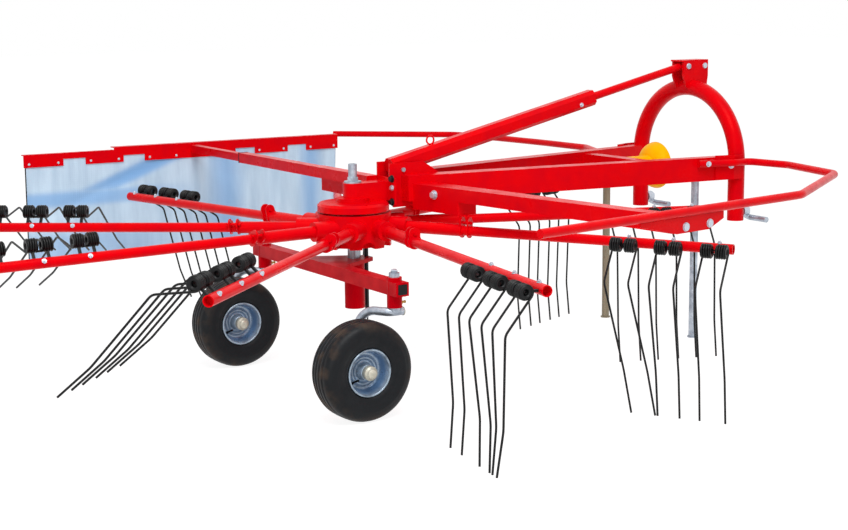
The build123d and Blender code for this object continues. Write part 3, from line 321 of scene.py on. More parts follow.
# sprayed silver enamel with a faint orange peel and dusty in the dish, with painted shade making it bluer in
# the well
dust = noise(tree, place, 35.0, 5.0)
# the well layer carries painted shade, bluer in the well and at the hub's foot
depth = add(tree, "ShaderNodeVertexColor", layer_name="well").outputs["Color"]
enamel = mixed(tree, ramp(tree, dust, 0.42, 0.72), linear("#9FB0C0"), linear("#66737F"))
feed(tree, shader, {"Base Color": mixed(tree, depth, enamel, linear("#5C80AA")),
                    "Metallic": 0.4, "Roughness": ramp(tree, dust, 0.3, 0.7, 0.2, 0.4),
                    "Normal": bumped(tree, noise(tree, place, 2.5), 0.1)})
dress(silver, "rim_right", "rim_left")
cap_zinc, tree, shader, place = material("yellow_passivated_zinc")
# a pressed cap with a thin cream chromate film, greyer where it is handled
film = noise(tree, place, 14.0, 4.0)
feed(tree, shader, {"Base Color": mixed(tree, film, linear("#D9D6C4"), linear("#9C9A8E")), "Metallic": 0.3,
                    "Roughness": ramp(tree, film, 0.3, 0.7, 0.35, 0.55)})
for side in ("right", "left"):
    hub = Vector(JOINTS[f"wheel_spin_{side}"]["pos_m"])
    mesh = turned_shell(f"wheel_{side}_dished", RIM_SECTION, hub, (0, 1, 0), RIM_STEPS)
    # painted shade by radius: bluer in the well and where the ring falls to the hub
    layer = mesh.color_attributes.new("well", "BYTE_COLOR", "POINT")
    for vertex in mesh.vertices:
        away = vertex.co - hub
        radius = math.hypot(away.x, away.z) / MM
        in_well = max(0.0, 1.0 - abs(radius - WELL_RADIUS) / WELL_REACH)
        at_hub = max(0.0, 1.0 - abs(radius - HUB_FOOT_RADIUS) / HUB_FOOT_REACH) * HUB_FOOT_SHARE
        share = min(1.0, in_well + at_hub)
        layer.data[vertex.index].color = (share, share, share, 1.0)
    shown(f"wheel_{side}_dished", mesh, silver, f"wheel_{side}", [f"rim_{side}"])
    mesh = turned_shell(f"dust_cap_{side}", CAP_SECTION, hub, (0, 1, 0), CAP_STEPS)
    shown(f"dust_cap_{side}", mesh, cap_zinc, f"wheel_{side}")


def fastener_tree():
    """Geometry Nodes that set a fastener on each point, turned to the point's own direction."""
    tree = bpy.data.node_groups.new("fasteners_on_points", "GeometryNodeTree")
    for label, kind in (("Points", "NodeSocketGeometry"), ("Fastener", "NodeSocketObject"),
                        ("Size", "NodeSocketFloat"), ("Finish", "NodeSocketMaterial")):
        tree.interface.new_socket(label, in_out="INPUT", socket_type=kind)
    tree.interface.new_socket("Pieces", in_out="OUTPUT", socket_type="NodeSocketGeometry")
    entry = add(tree, "NodeGroupInput").outputs
    fastener = add(tree, "GeometryNodeObjectInfo", {"Object": entry["Fastener"]})
    facing = add(tree, "GeometryNodeInputNamedAttribute", {"Name": "facing"}, data_type="FLOAT_VECTOR")
    turn = add(tree, "FunctionNodeAlignRotationToVector", {"Vector": facing.outputs["Attribute"]}, axis="Z")
    placed = add(tree, "GeometryNodeInstanceOnPoints", {
        "Points": entry["Points"], "Instance": fastener.outputs["Geometry"],
        "Rotation": turn.outputs["Rotation"], "Scale": entry["Size"]})
    solid = add(tree, "GeometryNodeRealizeInstances", {"Geometry": placed.outputs["Instances"]})
    painted = add(tree, "GeometryNodeSetMaterial", {"Geometry": solid.outputs["Geometry"],
                                                    "Material": entry["Finish"]})
    feed(tree, add(tree, "NodeGroupOutput"), {"Pieces": painted.outputs["Geometry"]})
    return tree


def grown(tree, name, base, inputs):
    """The plain mesh that a tree makes from a base mesh."""
    source = bpy.data.objects.new(name, base)
    collection.objects.link(source)
    modifier = source.modifiers.new("make", "NODES")
    modifier.node_group = tree
    sockets = {item.name: item.identifier for item in tree.interface.items_tree if item.in_out == "INPUT"}
    for label, value in inputs.items():
        modifier[sockets[label]] = value
    graph = bpy.context.evaluated_depsgraph_get()
    mesh = bpy.data.meshes.new_from_object(source.evaluated_get(graph), depsgraph=graph)
    bpy.data.objects.remove(source)
    mesh.name = name
    return mesh


SHOULDER = 0.7                                      # share of a disc's height below its chamfer


def fastener(name, discs):
    """A small shape on z = 0 from stacked discs (radius, top, sides, crown's share), hidden until set."""
    made = bmesh.new()
    low = 0.0
    for radius, height, sides, crown in discs:
        rings = []
        for share, level in ((1.0, low), (1.0, low + SHOULDER * (height - low)), (crown, height)):
            rings.append([made.verts.new(Vector((math.cos(math.tau * k / sides) * radius * share,
                                                 math.sin(math.tau * k / sides) * radius * share,
                                                 level)) * MM) for k in range(sides)])
        for lower, upper in zip(rings, rings[1:]):
            for k in range(sides):
                after = (k + 1) % sides
                made.faces.new((lower[k], lower[after], upper[after], upper[k]))
        made.faces.new(rings[-1])
        made.faces.new(list(reversed(rings[0])))
        low = height
    mesh = bpy.data.meshes.new(name)
    made.to_mesh(mesh)
    made.free()
    shape = bpy.data.objects.new(name, mesh)
    collection.objects.link(shape)
    shape.hide_render = True
    shape.hide_viewport = True
    return shape


def set_fasteners(name, shape, spots, finish, body, size=1.0):
    """Sets one fastener on each spot, (point in metres, direction), as one piece on a body."""
    base = bpy.data.meshes.new(name)
    base.from_pydata([tuple(point) for point, direction in spots], [], [])
    facing = base.attributes.new("facing", "FLOAT_VECTOR", "POINT")
    for k, (point, direction) in enumerate(spots):
        facing.data[k].vector = Vector(direction).normalized()
    mesh = grown(FASTENERS, name, base, {"Fastener": shape, "Size": size, "Finish": finish})
    return shown(name, mesh, finish, body)


FASTENERS = fastener_tree()
zinc, tree, shader, place = material("zinc_plated_steel")
# bright zinc plate, a little blue, dulled in patches
dull = noise(tree, place, 8.0)
feed(tree, shader, {"Base Color": mixed(tree, dull, linear("#DDE4EC"), linear("#AEB8C6")), "Metallic": 0.8,
                    "Roughness": ramp(tree, dull, 0.3, 0.7, 0.28, 0.45)})
valve = fastener("valve_shape", [(7.0, 3.0, 16, 0.9), (4.0, 24.0, 16, 1.0), (5.0, 34.0, 12, 0.8)])
black_rubber, tree, shader, place = material("moulded_black_rubber")
# plugs, caps and valve bodies: matt black with a little mould texture
feed(tree, shader, {"Base Color": mixed(tree, noise(tree, place, 10.0), linear("#040507"), linear("#0D0E11")),
                    "Roughness": 0.4, "Specular IOR Level": 0.25,
                    "Normal": bumped(tree, noise(tree, place, 2.0), 0.2)})
VALVE_RADIUS = 68.0
VALVE_ALONG = -6.0                                  # the disc's face, from the wheel's middle
VALVE_TURN = math.radians(222.0)
VALVE_SPLAY = 1.2                                   # outwards for each unit towards the hub
for side in ("right", "left"):
    hub = Vector(JOINTS[f"wheel_spin_{side}"]["pos_m"])
    to_valve = Vector((math.cos(VALVE_TURN) * VALVE_RADIUS, VALVE_ALONG, math.sin(VALVE_TURN) * VALVE_RADIUS))
    spot = hub + to_valve * MM
    inward = Vector((-math.cos(VALVE_TURN), -VALVE_SPLAY, -math.sin(VALVE_TURN)))
    set_fasteners(f"valve_{side}", valve, [(spot, inward)], black_rubber, f"wheel_{side}")

# ------------------------------------------------------------------ castors
# Castor legs bent from round bar and hot dip galvanised, with a stub axle in the wheel. A cap
# closes the bar's nose, a locking nut holds the pin above its socket, and moulded plugs close
# the axle beam's ends.
galvanised, tree, shader, place = material("hot_dip_galvanised_steel")
# zinc spangle of a few millimetres, grey blue, with duller bloom between
spangle = add(tree, "ShaderNodeTexVoronoi", {"Vector": place, "Scale": 1.0 / (7.0 * MM)}).outputs["Color"]
bloom = noise(tree, place, 45.0, 4.0)
zinc_colour = mixed(tree, spangle, linear("#AAB5C2"), linear("#C9D1DA"))
feed(tree, shader, {"Base Color": mixed(tree, ramp(tree, bloom, 0.4, 0.7), zinc_colour, linear("#8F99A6")),
                    "Metallic": 0.75, "Roughness": ramp(tree, bloom, 0.3, 0.7, 0.32, 0.5),
                    "Normal": bumped(tree, spangle, 0.05)})
dress(galvanised, "castor_leg_right", "castor_leg_left")


def seated(node, start, heading):
    """Where a line from a point of the machine meets a model node, and the way that face looks."""
    met, place, normal, _ = frame["nodes"][node].ray_cast(at(*start), Vector(heading).normalized())
    if not met:
        raise RuntimeError(f"nothing of {node} lies ahead of {start}")
    return place, normal


def boxes_mesh(name, boxes, edge_mm):
    """Small blocks, each (low corner, high corner) in millimetres of the machine, with rounded edges."""
    made = bmesh.new()
    for low, high in boxes:
        corner, span = at(*low), Vector(high) - Vector(low)
        place = Matrix.Translation(corner + span * MM / 2) @ Matrix.Diagonal((*(span * MM), 1.0))
        bmesh.ops.create_cube(made, size=1.0, matrix=place)
    bmesh.ops.bevel(made, geom=made.edges[:], offset=edge_mm * MM, segments=3, affect="EDGES", profile=0.5)
    bmesh.ops.recalc_face_normals(made, faces=made.faces)
    mesh = bpy.data.meshes.new(name)
    made.to_mesh(mesh)
    made.free()
    return mesh


AXLE_X, AXLE_Z, AXLE_END_Y = -148.0, 526.0, 640.0
PLUG_HALF, PLUG_DEEP, PLUG_EDGE = 21.0, 4.0, 3.0
plugs = [((AXLE_X - PLUG_HALF, s * AXLE_END_Y - PLUG_DEEP, AXLE_Z - PLUG_HALF),
          (AXLE_X + PLUG_HALF, s * AXLE_END_Y + PLUG_DEEP, AXLE_Z + PLUG_HALF)) for s in (-1, 1)]
shown("axle_plugs", boxes_mesh("axle_plugs", plugs, PLUG_EDGE), black_rubber, "axle")
bpy.context.view_layer.update()
pin_nut = fastener("pin_nut_shape", [(13.0, 6.0, 6, 0.9)])
nipple = fastener("grease_nipple_shape", [(6.0, 4.0, 6, 0.95), (3.5, 12.0, 10, 0.9), (4.5, 16.0, 10, 0.6)])
bar_cap = fastener("bar_cap_shape", [(18.6, 5.0, 24, 0.94)])
CASTOR_Y, CASTOR_BAR_Z = 577.0, 425.0
ABOVE_CASTOR_Z, AHEAD_OF_CASTOR_X = 700.0, AXLE_X + 200.0    # clear of the leg, to look at it from
for side, s in (("right", -1), ("left", 1)):
    leg, pin_y = f"castor_leg_{side}", s * CASTOR_Y
    pin_end = seated(leg, (AXLE_X, pin_y, ABOVE_CASTOR_Z), (0, 0, -1))
    set_fasteners(f"castor_pin_nut_{side}", pin_nut, [pin_end], zinc, f"castor_{side}")
    nose = seated(leg, (AHEAD_OF_CASTOR_X, pin_y, CASTOR_BAR_Z), (-1, 0, 0))
    set_fasteners(f"castor_bar_cap_{side}", bar_cap, [nose], cap_zinc, f"castor_{side}")
NIPPLE_HEIGHTS, NIPPLE_SIZE = (462.0, 488.0), 1.4
nipples = [seated("axle_beam", (0.0, s * CASTOR_Y, z), (-1, 0, 0)) for s in (-1, 1) for z in NIPPLE_HEIGHTS]
brass, tree, shader, place = material("yellow_chromated_nipple")
# small turned nipples, brassy chromate with dry grease on them
feed(tree, shader, {"Base Color": mixed(tree, noise(tree, place, 5.0), linear("#D8B25A"), linear("#8A6A3A")),
                    "Metallic": 0.7, "Roughness": 0.4})
set_fasteners("grease_nipples", nipple, nipples, brass, "axle", NIPPLE_SIZE)

# ------------------------------------------------------------------ red frame and axle paint
# Everything welded is powder coated in one gloss red: drum, arms, rotor head, hub bracket, beams,
# hoop, mast, guards and rail. The axle beam and its sleeve, under the rotor, are given a deeper red as painted
# shade.
red, tree, shader, place = material("gloss_red_powder_coat")
# thick glossy coat with a fine orange peel, a little duller where hands and hay rub it
rubbed = noise(tree, place, 90.0, 5.0)
red_coat_colour = mixed(tree, ramp(tree, rubbed, 0.35, 0.75), linear("#E4000A"), linear("#D20012"))
feed(tree, shader, {"Base Color": red_coat_colour,
                    "Roughness": ramp(tree, rubbed, 0.3, 0.7, 0.24, 0.38), "IOR": 1.5,
                    "Specular IOR Level": 0.2, "Specular Tint": (1.0, 0.12, 0.1, 1.0),
                    "Normal": bumped(tree, noise(tree, place, 3.0), 0.08)})
RED_NODES = ["rotor_drum", "rotor_head", "hub_bracket", "beam_right", "beam_left", "headstock_hoop",
             "top_clevis", "mast_outer", "mast_bar", "front_cross_member", "outrigger_right", "guard_right",
             "guard_left", "curtain_rail", "curtain_arm", "curtain_arm_sleeve", "stand_sleeves"]
dress(red, *RED_NODES)
dress(red, *[f"tine_arm_{k}" for k in range(1, 10)])
painted_shade_red, tree, shader, place = material("red_powder_coat_painted_shade")
# the same coat in a deeper red as painted shade, for the axle in the rotor's shade, a little less glossy
rubbed = noise(tree, place, 90.0, 5.0)
red_coat_colour = mixed(tree, ramp(tree, rubbed, 0.35, 0.75), linear("#CC0010"), linear("#B00012"))
feed(tree, shader, {"Base Color": red_coat_colour,
                    "Roughness": ramp(tree, rubbed, 0.3, 0.7, 0.3, 0.45), "IOR": 1.5,
                    "Specular IOR Level": 0.12, "Specular Tint": (1.0, 0.12, 0.1, 1.0),
                    "Normal": bumped(tree, noise(tree, place, 3.0), 0.08)})
dress(painted_shade_red, "axle_beam", "axle_sleeve")

# ------------------------------------------------------------------ column, cone and stands
# The axle's sleeve slides on a ground steel column; beside it a black threaded rod sets the
# height. A moulded cone guards the input shaft, and two galvanised tubes are the parking stands.
ground_steel, tree, shader, place = material("ground_steel")
# cylindrically ground, with fine upright streaks and a film of grease
streaks = add(tree, "ShaderNodeMapping", {"Vector": place, "Scale": (1.0, 1.0, 0.04)}).outputs["Vector"]
grease = noise(tree, streaks, 4.0)
feed(tree, shader, {"Base Color": mixed(tree, grease, linear("#7D828A"), linear("#A9AEB6")), "Metallic": 1.0,
                    "Roughness": ramp(tree, grease, 0.3, 0.7, 0.22, 0.4)})
dress(ground_steel, "column", "input_shaft")
black_iron, tree, shader, place = material("black_phosphated_steel")
# phosphated and oiled, nearly black
feed(tree, shader, {"Base Color": mixed(tree, noise(tree, place, 12.0), linear("#0E0F11"), linear("#1D1E21")),
                    "Metallic": 0.4, "Roughness": 0.42})
dress(black_iron, "jack_rod")
dress(galvanised, "spindle_cap", "mast_pins", "lower_link_pins")
yellow, tree, shader, place = material("orange_polyethylene")
# moulded guard cone, a slight waxy sheen
feed(tree, shader, {"Base Color": mixed(tree, noise(tree, place, 40.0), linear("#FFC400"), linear("#FFAE00")),
                    "Roughness": 0.42, "IOR": 1.5, "Specular IOR Level": 0.2,
                    "Specular Tint": (1.0, 0.7, 0.1, 1.0),
                    "Normal": bumped(tree, noise(tree, place, 2.0), 0.1)})
dress(yellow, "pto_guard")
stand_zinc, tree, shader, place = material("weathered_galvanised_tube")
# older zinc, warm grey with pale streaks down the tube
streaks = add(tree, "ShaderNodeMapping", {"Vector": place, "Scale": (1.0, 1.0, 0.08)}).outputs["Vector"]
pale = mixed(tree, noise(tree, streaks, 12.0), linear("#857A62"), linear("#A79E88"))
feed(tree, shader, {"Base Color": pale, "Metallic": 0.35, "Roughness": 0.5})
dress(stand_zinc, "stand_left")
dress(galvanised, "stand_right")

# ------------------------------------------------------------------ double spring tines
# Twenty-seven double tines of drawn spring wire, black painted. Each is one wire: a leg, a coil,
# a bridge, a second coil and a second leg. Its coils sit on two spools behind the arm, each held
# by a strap, and one bolt stands on the arm above them.
ARM_COUNT = 9
FIRST_ARM_ANGLE = -139.07                           # degrees; the other arms follow at even steps
ARM_OFFSET = 62.5
ARM_DROOP = 0.38
ARM_TIP = 1675.0
ARM_RADIUS = 21.0
# how far each arm is turned about its own length, degrees
ARM_TWIST = [45.5, 0.0, 0.0, 0.0, 0.0, 0.0, 20.0, 60.0, 60.0]
TINES_FROM_TIP = [431.0, 245.0, 57.0]               # middle of each double tine, back from the arm's tip
WORN = [3.0, 3.0, 3.0, 3.0, 3.0, 3.0]
LIFTED = [3.0, 3.0, 3.0, 2.0, 1.0, 1.0]
# how far each leg leans along its arm, degrees: two legs of three tines, arm by arm
TINE_LEANS = [[3.0, 3.0, 3.0, 3.0, 2.0, 2.0], [0.0, 0.0, 7.0, 5.0, -2.0, -9.0],
              [13.0, 13.0, 5.0, 4.0, 3.3, 3.7], WORN, WORN, WORN, WORN, LIFTED, LIFTED]
WIRE_RADIUS = 4.5
COIL_RADIUS = 25.5                                  # to the middle of the wire
COIL_OFFSET = 76.0
COIL_OUTER = 50.0
COIL_INNER = 10.5
COIL_TURNS = 4
SPOOL_OUTER = 21.0
SPOOL_BORE = 12.5
SPOOL_HALF = 21.0
SPOOL_RIM = 5.0                                     # how far its end rims stand out
TURN_STEPS = 18                                     # points in one turn of a coil
TINE_CORNERS = [(156.0, -142.0), (134.0, -498.0), (146.0, -670.0)]    # back from the arm and up
CORNER_CUT = 16.0                                   # of each rounded corner, along the wire


def wire_tree():
    """Geometry Nodes that draw a round wire along a line."""
    tree = bpy.data.node_groups.new("drawn_wire", "GeometryNodeTree")
    for label, kind in (("Line", "NodeSocketGeometry"), ("Wire radius", "NodeSocketFloat"),
                        ("Wire sides", "NodeSocketInt"), ("Finish", "NodeSocketMaterial")):
        tree.interface.new_socket(label, in_out="INPUT", socket_type=kind)
    tree.interface.new_socket("Wire", in_out="OUTPUT", socket_type="NodeSocketGeometry")
    entry = add(tree, "NodeGroupInput").outputs
    line = add(tree, "GeometryNodeMeshToCurve", {"Mesh": entry["Line"]})
    section = add(tree, "GeometryNodeCurvePrimitiveCircle", {"Resolution": entry["Wire sides"],
                                                             "Radius": entry["Wire radius"]})
    drawn = add(tree, "GeometryNodeCurveToMesh", {
        "Curve": line.outputs["Curve"], "Profile Curve": section.outputs["Curve"], "Fill Caps": True})
    solid = add(tree, "GeometryNodeRealizeInstances", {"Geometry": drawn.outputs["Mesh"]})
    painted = add(tree, "GeometryNodeSetMaterial", {"Geometry": solid.outputs["Geometry"],
                                                    "Material": entry["Finish"]})
    feed(tree, add(tree, "NodeGroupOutput"), {"Wire": painted.outputs["Geometry"]})
    return tree


WIRES = wire_tree()


def lines_mesh(name, lines):
    """A mesh of open lines, each a list of points in metres."""
    points = []
    edges = []
    for line in lines:
        first = len(points)
        points += [tuple(point) for point in line]
        edges += [(first + k, first + k + 1) for k in range(len(line) - 1)]
    mesh = bpy.data.meshes.new(name)
    mesh.from_pydata(points, edges, [])
    return mesh


def wire_piece(name, lines, radius_mm, sides, finish):
    """Round wires drawn along lines, as one smooth mesh."""
    mesh = grown(WIRES, name, lines_mesh(name, lines),
                 {"Wire radius": radius_mm * MM, "Wire sides": sides, "Finish": finish})
    for polygon in mesh.polygons:
        polygon.use_smooth = len(polygon.vertices) == 4
    return mesh


def softened(points, cut):
    """A line whose inner corners are cut back and bowed."""
    line = [points[0]]
    for before, corner, after in zip(points, points[1:], points[2:]):
        enter = corner + (before - corner).normalized() * cut
        leave = corner + (after - corner).normalized() * cut
        line += [enter.lerp(corner, t).lerp(corner.lerp(leave, t), t) for t in (0.0, 0.25, 0.5, 0.75, 1.0)]
    return line + [points[-1]]


def half_tine(s, lean):
    """One half of a double tine from its bridge to its tip, round the arm's own X axis."""
    back, up = TINE_CORNERS[0]
    reach = math.hypot(back - COIL_OFFSET, up)
    leave = math.atan2(up, back - COIL_OFFSET) - math.acos(COIL_RADIUS / reach) + math.tau
    turned = leave - math.pi + COIL_TURNS * math.tau
    count = round(turned / math.tau * TURN_STEPS)
    coil = []
    for k in range(count + 1):
        share = k / count
        phi = leave - turned * (1 - share)
        coil.append(Vector((s * (COIL_INNER + (COIL_OUTER - COIL_INNER) * share),
                            -COIL_OFFSET - COIL_RADIUS * math.cos(phi), COIL_RADIUS * math.sin(phi))))
    tilt = math.tan(math.radians(lean))
    corners = [Vector((s * COIL_OUTER + (up - z) * tilt, -y, z)) for y, z in TINE_CORNERS]
    return coil[:-1] + softened([coil[-1]] + corners, CORNER_CUT)


def arm_matrix(k):
    """The frame of arm k: X along it, Y ahead of it, in metres."""
    angle = math.radians(FIRST_ARM_ANGLE + 360.0 / ARM_COUNT * k)
    return (Matrix.Translation(ROTOR_CENTRE) @ Matrix.Rotation(angle, 4, "Z")
            @ Matrix.Translation(Vector((0, ARM_OFFSET * MM, 0)))
            @ Matrix.Rotation(math.radians(ARM_DROOP), 4, "Y")
            @ Matrix.Rotation(math.radians(-ARM_TWIST[k]), 4, "X"))


spring_steel, tree, shader, place = material("black_painted_spring_steel")
# dip painted wire, satin black with scuffs
scuffs = noise(tree, place, 18.0, 5.0)
scuffed = mixed(tree, ramp(tree, scuffs, 0.5, 0.8), linear("#030405"), linear("#0C0D10"))
feed(tree, shader, {"Base Color": scuffed, "Roughness": ramp(tree, scuffs, 0.3, 0.7, 0.3, 0.45), "IOR": 1.5,
                    "Specular IOR Level": 0.25})
SPOOL_SECTION = [(SPOOL_BORE, -SPOOL_HALF), (SPOOL_BORE, SPOOL_HALF), (SPOOL_OUTER + SPOOL_RIM, SPOOL_HALF),
                 (SPOOL_OUTER + SPOOL_RIM, SPOOL_HALF - 2.5), (SPOOL_OUTER, SPOOL_HALF - 3.0),
                 (SPOOL_OUTER, 3.0 - SPOOL_HALF), (SPOOL_OUTER + SPOOL_RIM, 2.5 - SPOOL_HALF),
                 (SPOOL_OUTER + SPOOL_RIM, -SPOOL_HALF)]
SPOOL_STEPS = 20
spool_mesh = turned_shell("coil_spool_shape", SPOOL_SECTION, Vector((0, 0, 0)), (0, 0, 1), SPOOL_STEPS)
spool = bpy.data.objects.new("coil_spool_shape", spool_mesh)
collection.objects.link(spool)
spool.hide_render = True
tine_bolt = fastener("tine_bolt_shape", [(12.5, 2.5, 20, 0.98), (10.5, 10.0, 6, 0.92), (6.0, 15.0, 12, 0.85)])
BOLT_SINK, TINE_BOLT_SIZE = 0.5, 0.8
STRAP_HALF_WIDE, STRAP_HALF_THICK, STRAP_SPREAD = 6.0, 5.0, 30.0
STRAP_LAP, STRAP_EDGE = 8.0, 1.5
WIRE_SIDES = 10
spools = []
bolts = []
straps = bmesh.new()
for k in range(ARM_COUNT):
    to_arm = arm_matrix(k)
    along = to_arm.to_3x3() @ Vector((1, 0, 0))
    up = to_arm.to_3x3() @ Vector((0, 0, 1))
    lines = []
    for station, back in enumerate(TINES_FROM_TIP):
        inner, outer = TINE_LEANS[k][2 * station:2 * station + 2]
        line = list(reversed(half_tine(-1, inner))) + half_tine(1, outer)
        middle = Vector((ARM_TIP - back, 0, 0))
        lines.append([to_arm @ ((point + middle) * MM) for point in line])
        bolts.append((to_arm @ ((middle + Vector((0, 0, ARM_RADIUS - BOLT_SINK))) * MM), up))
        for s in (-1, 1):
            spools.append((to_arm @ ((middle + Vector((s * STRAP_SPREAD, -COIL_OFFSET, 0))) * MM), along))
            strap_back = -(ARM_RADIUS + COIL_OFFSET - COIL_RADIUS) / 2
            strap_place = Matrix.Translation((middle + Vector((s * STRAP_SPREAD, strap_back, 0))) * MM)
            reach = COIL_OFFSET - COIL_RADIUS - ARM_RADIUS + STRAP_LAP
            size = Matrix.Diagonal((2 * STRAP_HALF_WIDE * MM, reach * MM, 2 * STRAP_HALF_THICK * MM, 1.0))
            bmesh.ops.create_cube(straps, size=1.0, matrix=to_arm @ strap_place @ size)
    mesh = wire_piece(f"spring_tines_{k + 1}", lines, WIRE_RADIUS, WIRE_SIDES, spring_steel)
    shown(f"spring_tines_{k + 1}", mesh, spring_steel, "rotor", [f"tines_{k + 1}"])
bmesh.ops.bevel(straps, geom=straps.edges[:], offset=STRAP_EDGE * MM, segments=2, affect="EDGES",
                profile=0.5)
mesh = bpy.data.meshes.new("tine_straps")
straps.to_mesh(mesh)
straps.free()
shown("tine_straps", mesh, black_rubber, "rotor")
set_fasteners("tine_spools", spool, spools, black_rubber, "rotor")
set_fasteners("tine_bolts", tine_bolt, bolts, zinc, "rotor", TINE_BOLT_SIZE)

# ------------------------------------------------------------------ bolts of the frame
# Zinc plated bolts hold the bolted joints: hub bracket, guard and its seat, outrigger, mast and
# clevis, and nuts close the lower link pins. Each is seated on the face that it clamps. A ring of
# bar, painted with the frame, lifts the mast.
hex_bolt = fastener("hex_bolt_shape", [(17.0, 3.0, 24, 0.98), (12.5, 14.0, 6, 0.9)])
round_head = fastener("round_head_shape", [(19.0, 3.0, 24, 0.98), (17.0, 10.0, 24, 0.7)])
NEAR, REAR = (0, 1, 0), (1, 0, 0)                   # ways to look at a face: from the near side, from behind
# piece, node it is seated on, where the look starts, which way it goes, size
BOLTS = [("outrigger_root_bolt", "outrigger_right", (0.0, -255.0, 838.0), REAR, 1.2),
         ("guard_root_bolt", "guard_right", (1729.0, -600.0, 883.0), NEAR, 0.8),
         ("guard_seat_bolt", "beam_right", (1868.0, -600.0, 868.0), NEAR, 0.9),
         ("mast_lock_bolt", "mast_outer", (1237.0, -600.0, 1168.0), NEAR, 0.6)]
for name, node, start, heading, size in BOLTS:
    set_fasteners(name, hex_bolt, [seated(node, start, heading)], zinc, "frame", size)
PLATE_BOLT_XS, PLATE_BOLT_Z, BESIDE_PLATE_Y = (535.0, 672.0), 828.0, -1700.0
plate_bolts = [seated("outrigger_right", (x, BESIDE_PLATE_Y, PLATE_BOLT_Z), NEAR) for x in PLATE_BOLT_XS]
set_fasteners("outrigger_bolts", round_head, plate_bolts, zinc, "frame", size=0.9)
CLEVIS_BOLT_XS, CLEVIS_BOLT_Z, BESIDE_CLEVIS_Y = (1902.0, 2010.0), 1328.5, -300.0
BESIDE_BORE = 14.0                                  # the cheek is found beside its bore, then stepped back
cheeks = [seated("top_clevis", (x + BESIDE_BORE, BESIDE_CLEVIS_Y, CLEVIS_BOLT_Z - BESIDE_BORE), NEAR)
          for x in CLEVIS_BOLT_XS]
clevis_bolts = [(Vector((place.x - BESIDE_BORE * MM, place.y, place.z + BESIDE_BORE * MM)), out)
                for place, out in cheeks]
set_fasteners("clevis_bolts", round_head, clevis_bolts, zinc, "frame", size=0.75)
REAR_BOLT_Y, REAR_BOLT_ZS = -75.0, (898.0, 858.0, 796.0)
upper, middle, lower = [seated("hub_bracket", (0.0, REAR_BOLT_Y, z), REAR) for z in REAR_BOLT_ZS]
set_fasteners("rear_plate_bolts", hex_bolt, [middle], zinc, "frame", size=0.8)
set_fasteners("rear_plate_nuts", hex_bolt, [upper, lower], black_iron, "frame")
link_nut = fastener("link_nut_shape", [(26.0, 12.0, 24, 0.98), (27.0, 38.0, 6, 0.94)])
LINK_ROOT_X, LINK_ROOT_Z, HOOP_HALF = 1984.0, 634.0, 351.0
roots = [(at(LINK_ROOT_X, y, LINK_ROOT_Z), (1, 0, 0)) for y in (-HOOP_HALF, HOOP_HALF)]
set_fasteners("link_pin_nuts", link_nut, roots, zinc, "frame")
EYE_RADIUS, EYE_WIRE, EYE_X, ABOVE_MAST_Z = 19.0, 4.0, 404.0, 1400.0
EYE_RISE = EYE_RADIUS + 1.0
EYE_SIDES, EYE_STEPS = 10, 32
eye_place, _ = seated("mast_outer", (EYE_X, 0.0, ABOVE_MAST_Z), (0, 0, -1))
ring = [(EYE_RADIUS + EYE_WIRE * math.cos(math.tau * k / EYE_SIDES),
         EYE_WIRE * math.sin(math.tau * k / EYE_SIDES)) for k in range(EYE_SIDES)]
eye = turned_shell("lifting_eye", ring, eye_place + Vector((0, 0, EYE_RISE * MM)), (0, 1, 0), EYE_STEPS)
shown("lifting_eye", eye, red, "frame")

# ------------------------------------------------------------------ swath curtain
# A coated tarpaulin riveted behind the rail's tabs. It hangs in shallow upright folds, with one
# crease from the arm's joint down to its rear end; painted shadow makes it bluer there and in bands, and
# painted shade darkens streaks along its folds in front.
# A black batten stiffens its rear edge, and a moulded cap lips the end of the arm's sleeve.
RAIL_REAR = Vector((-840.0, 1900.0, 921.4))
RAIL_FRONT = Vector((1070.0, 2030.0, 897.4))
CLOTH_TOP = -20.3                                   # heights from the rail's upper edge
CLOTH_BOTTOM = -574.0
CLOTH_MARGIN = 10.0
CLOTH_COLUMNS = 300
CLOTH_ROWS = 70
CLOTH_STAND_OFF = 6.0
CLOTH_THICK = 1.2
CLOTH_GAP = 1.2                                     # how far it stands off the tabs
rail_along = (RAIL_FRONT - RAIL_REAR).normalized()
rail_out = Vector((-rail_along.y, rail_along.x, 0.0)).normalized()
rail_up = rail_along.cross(rail_out)
rail_length = (RAIL_FRONT - RAIL_REAR).length


def on_rail(x, out, up):
    """A point beside the rail, from millimetres along it, out of it and up from its upper edge."""
    spot = RAIL_REAR + rail_along * x + rail_out * out + rail_up * up
    return at(spot.x, spot.y, spot.z)


FOLD_DEPTH, FOLD_LENGTH = 7.0, 88.0                 # of the broad folds, as a sine's height and length / tau
REAR_FOLDS = 0.25                                   # the share of them that is left at the rear
RIPPLE_DEPTH, RIPPLE_LENGTH = 2.2, 29.0             # of the small ones between them
RIPPLE_START, RIPPLE_LEAN = 1.7, 1.4                # radians, at the cloth's top and over its drop
WANDER, WANDER_LENGTH = 0.9, 310.0                  # how unevenly the broad folds follow each other
FOLDS_FROM_X, FOLDS_BLEND = 900.0, 160.0            # the folds are deep in front of this
CREASE_TOP_X, CREASE_FALL = 930.0, 1400.0           # where it starts, and how far back the hem would have it
CREASE_DEPTH, CREASE_HALF = 8.0, 90.0
HANG_FROM, HANG_POWER = 0.3, 1.4                    # the folds grow from the rail to this share of the drop
CREASE_GROWTH = 5                                   # it is full a fifth of the way down


def broad_phase(x):
    """Where x lies along the broad folds, radians."""
    return x / FOLD_LENGTH + WANDER * math.sin(x / WANDER_LENGTH)


def past_crease(x, down):
    """How far a point lies in front of the crease, mm."""
    return (x - CREASE_TOP_X) + CREASE_FALL * down


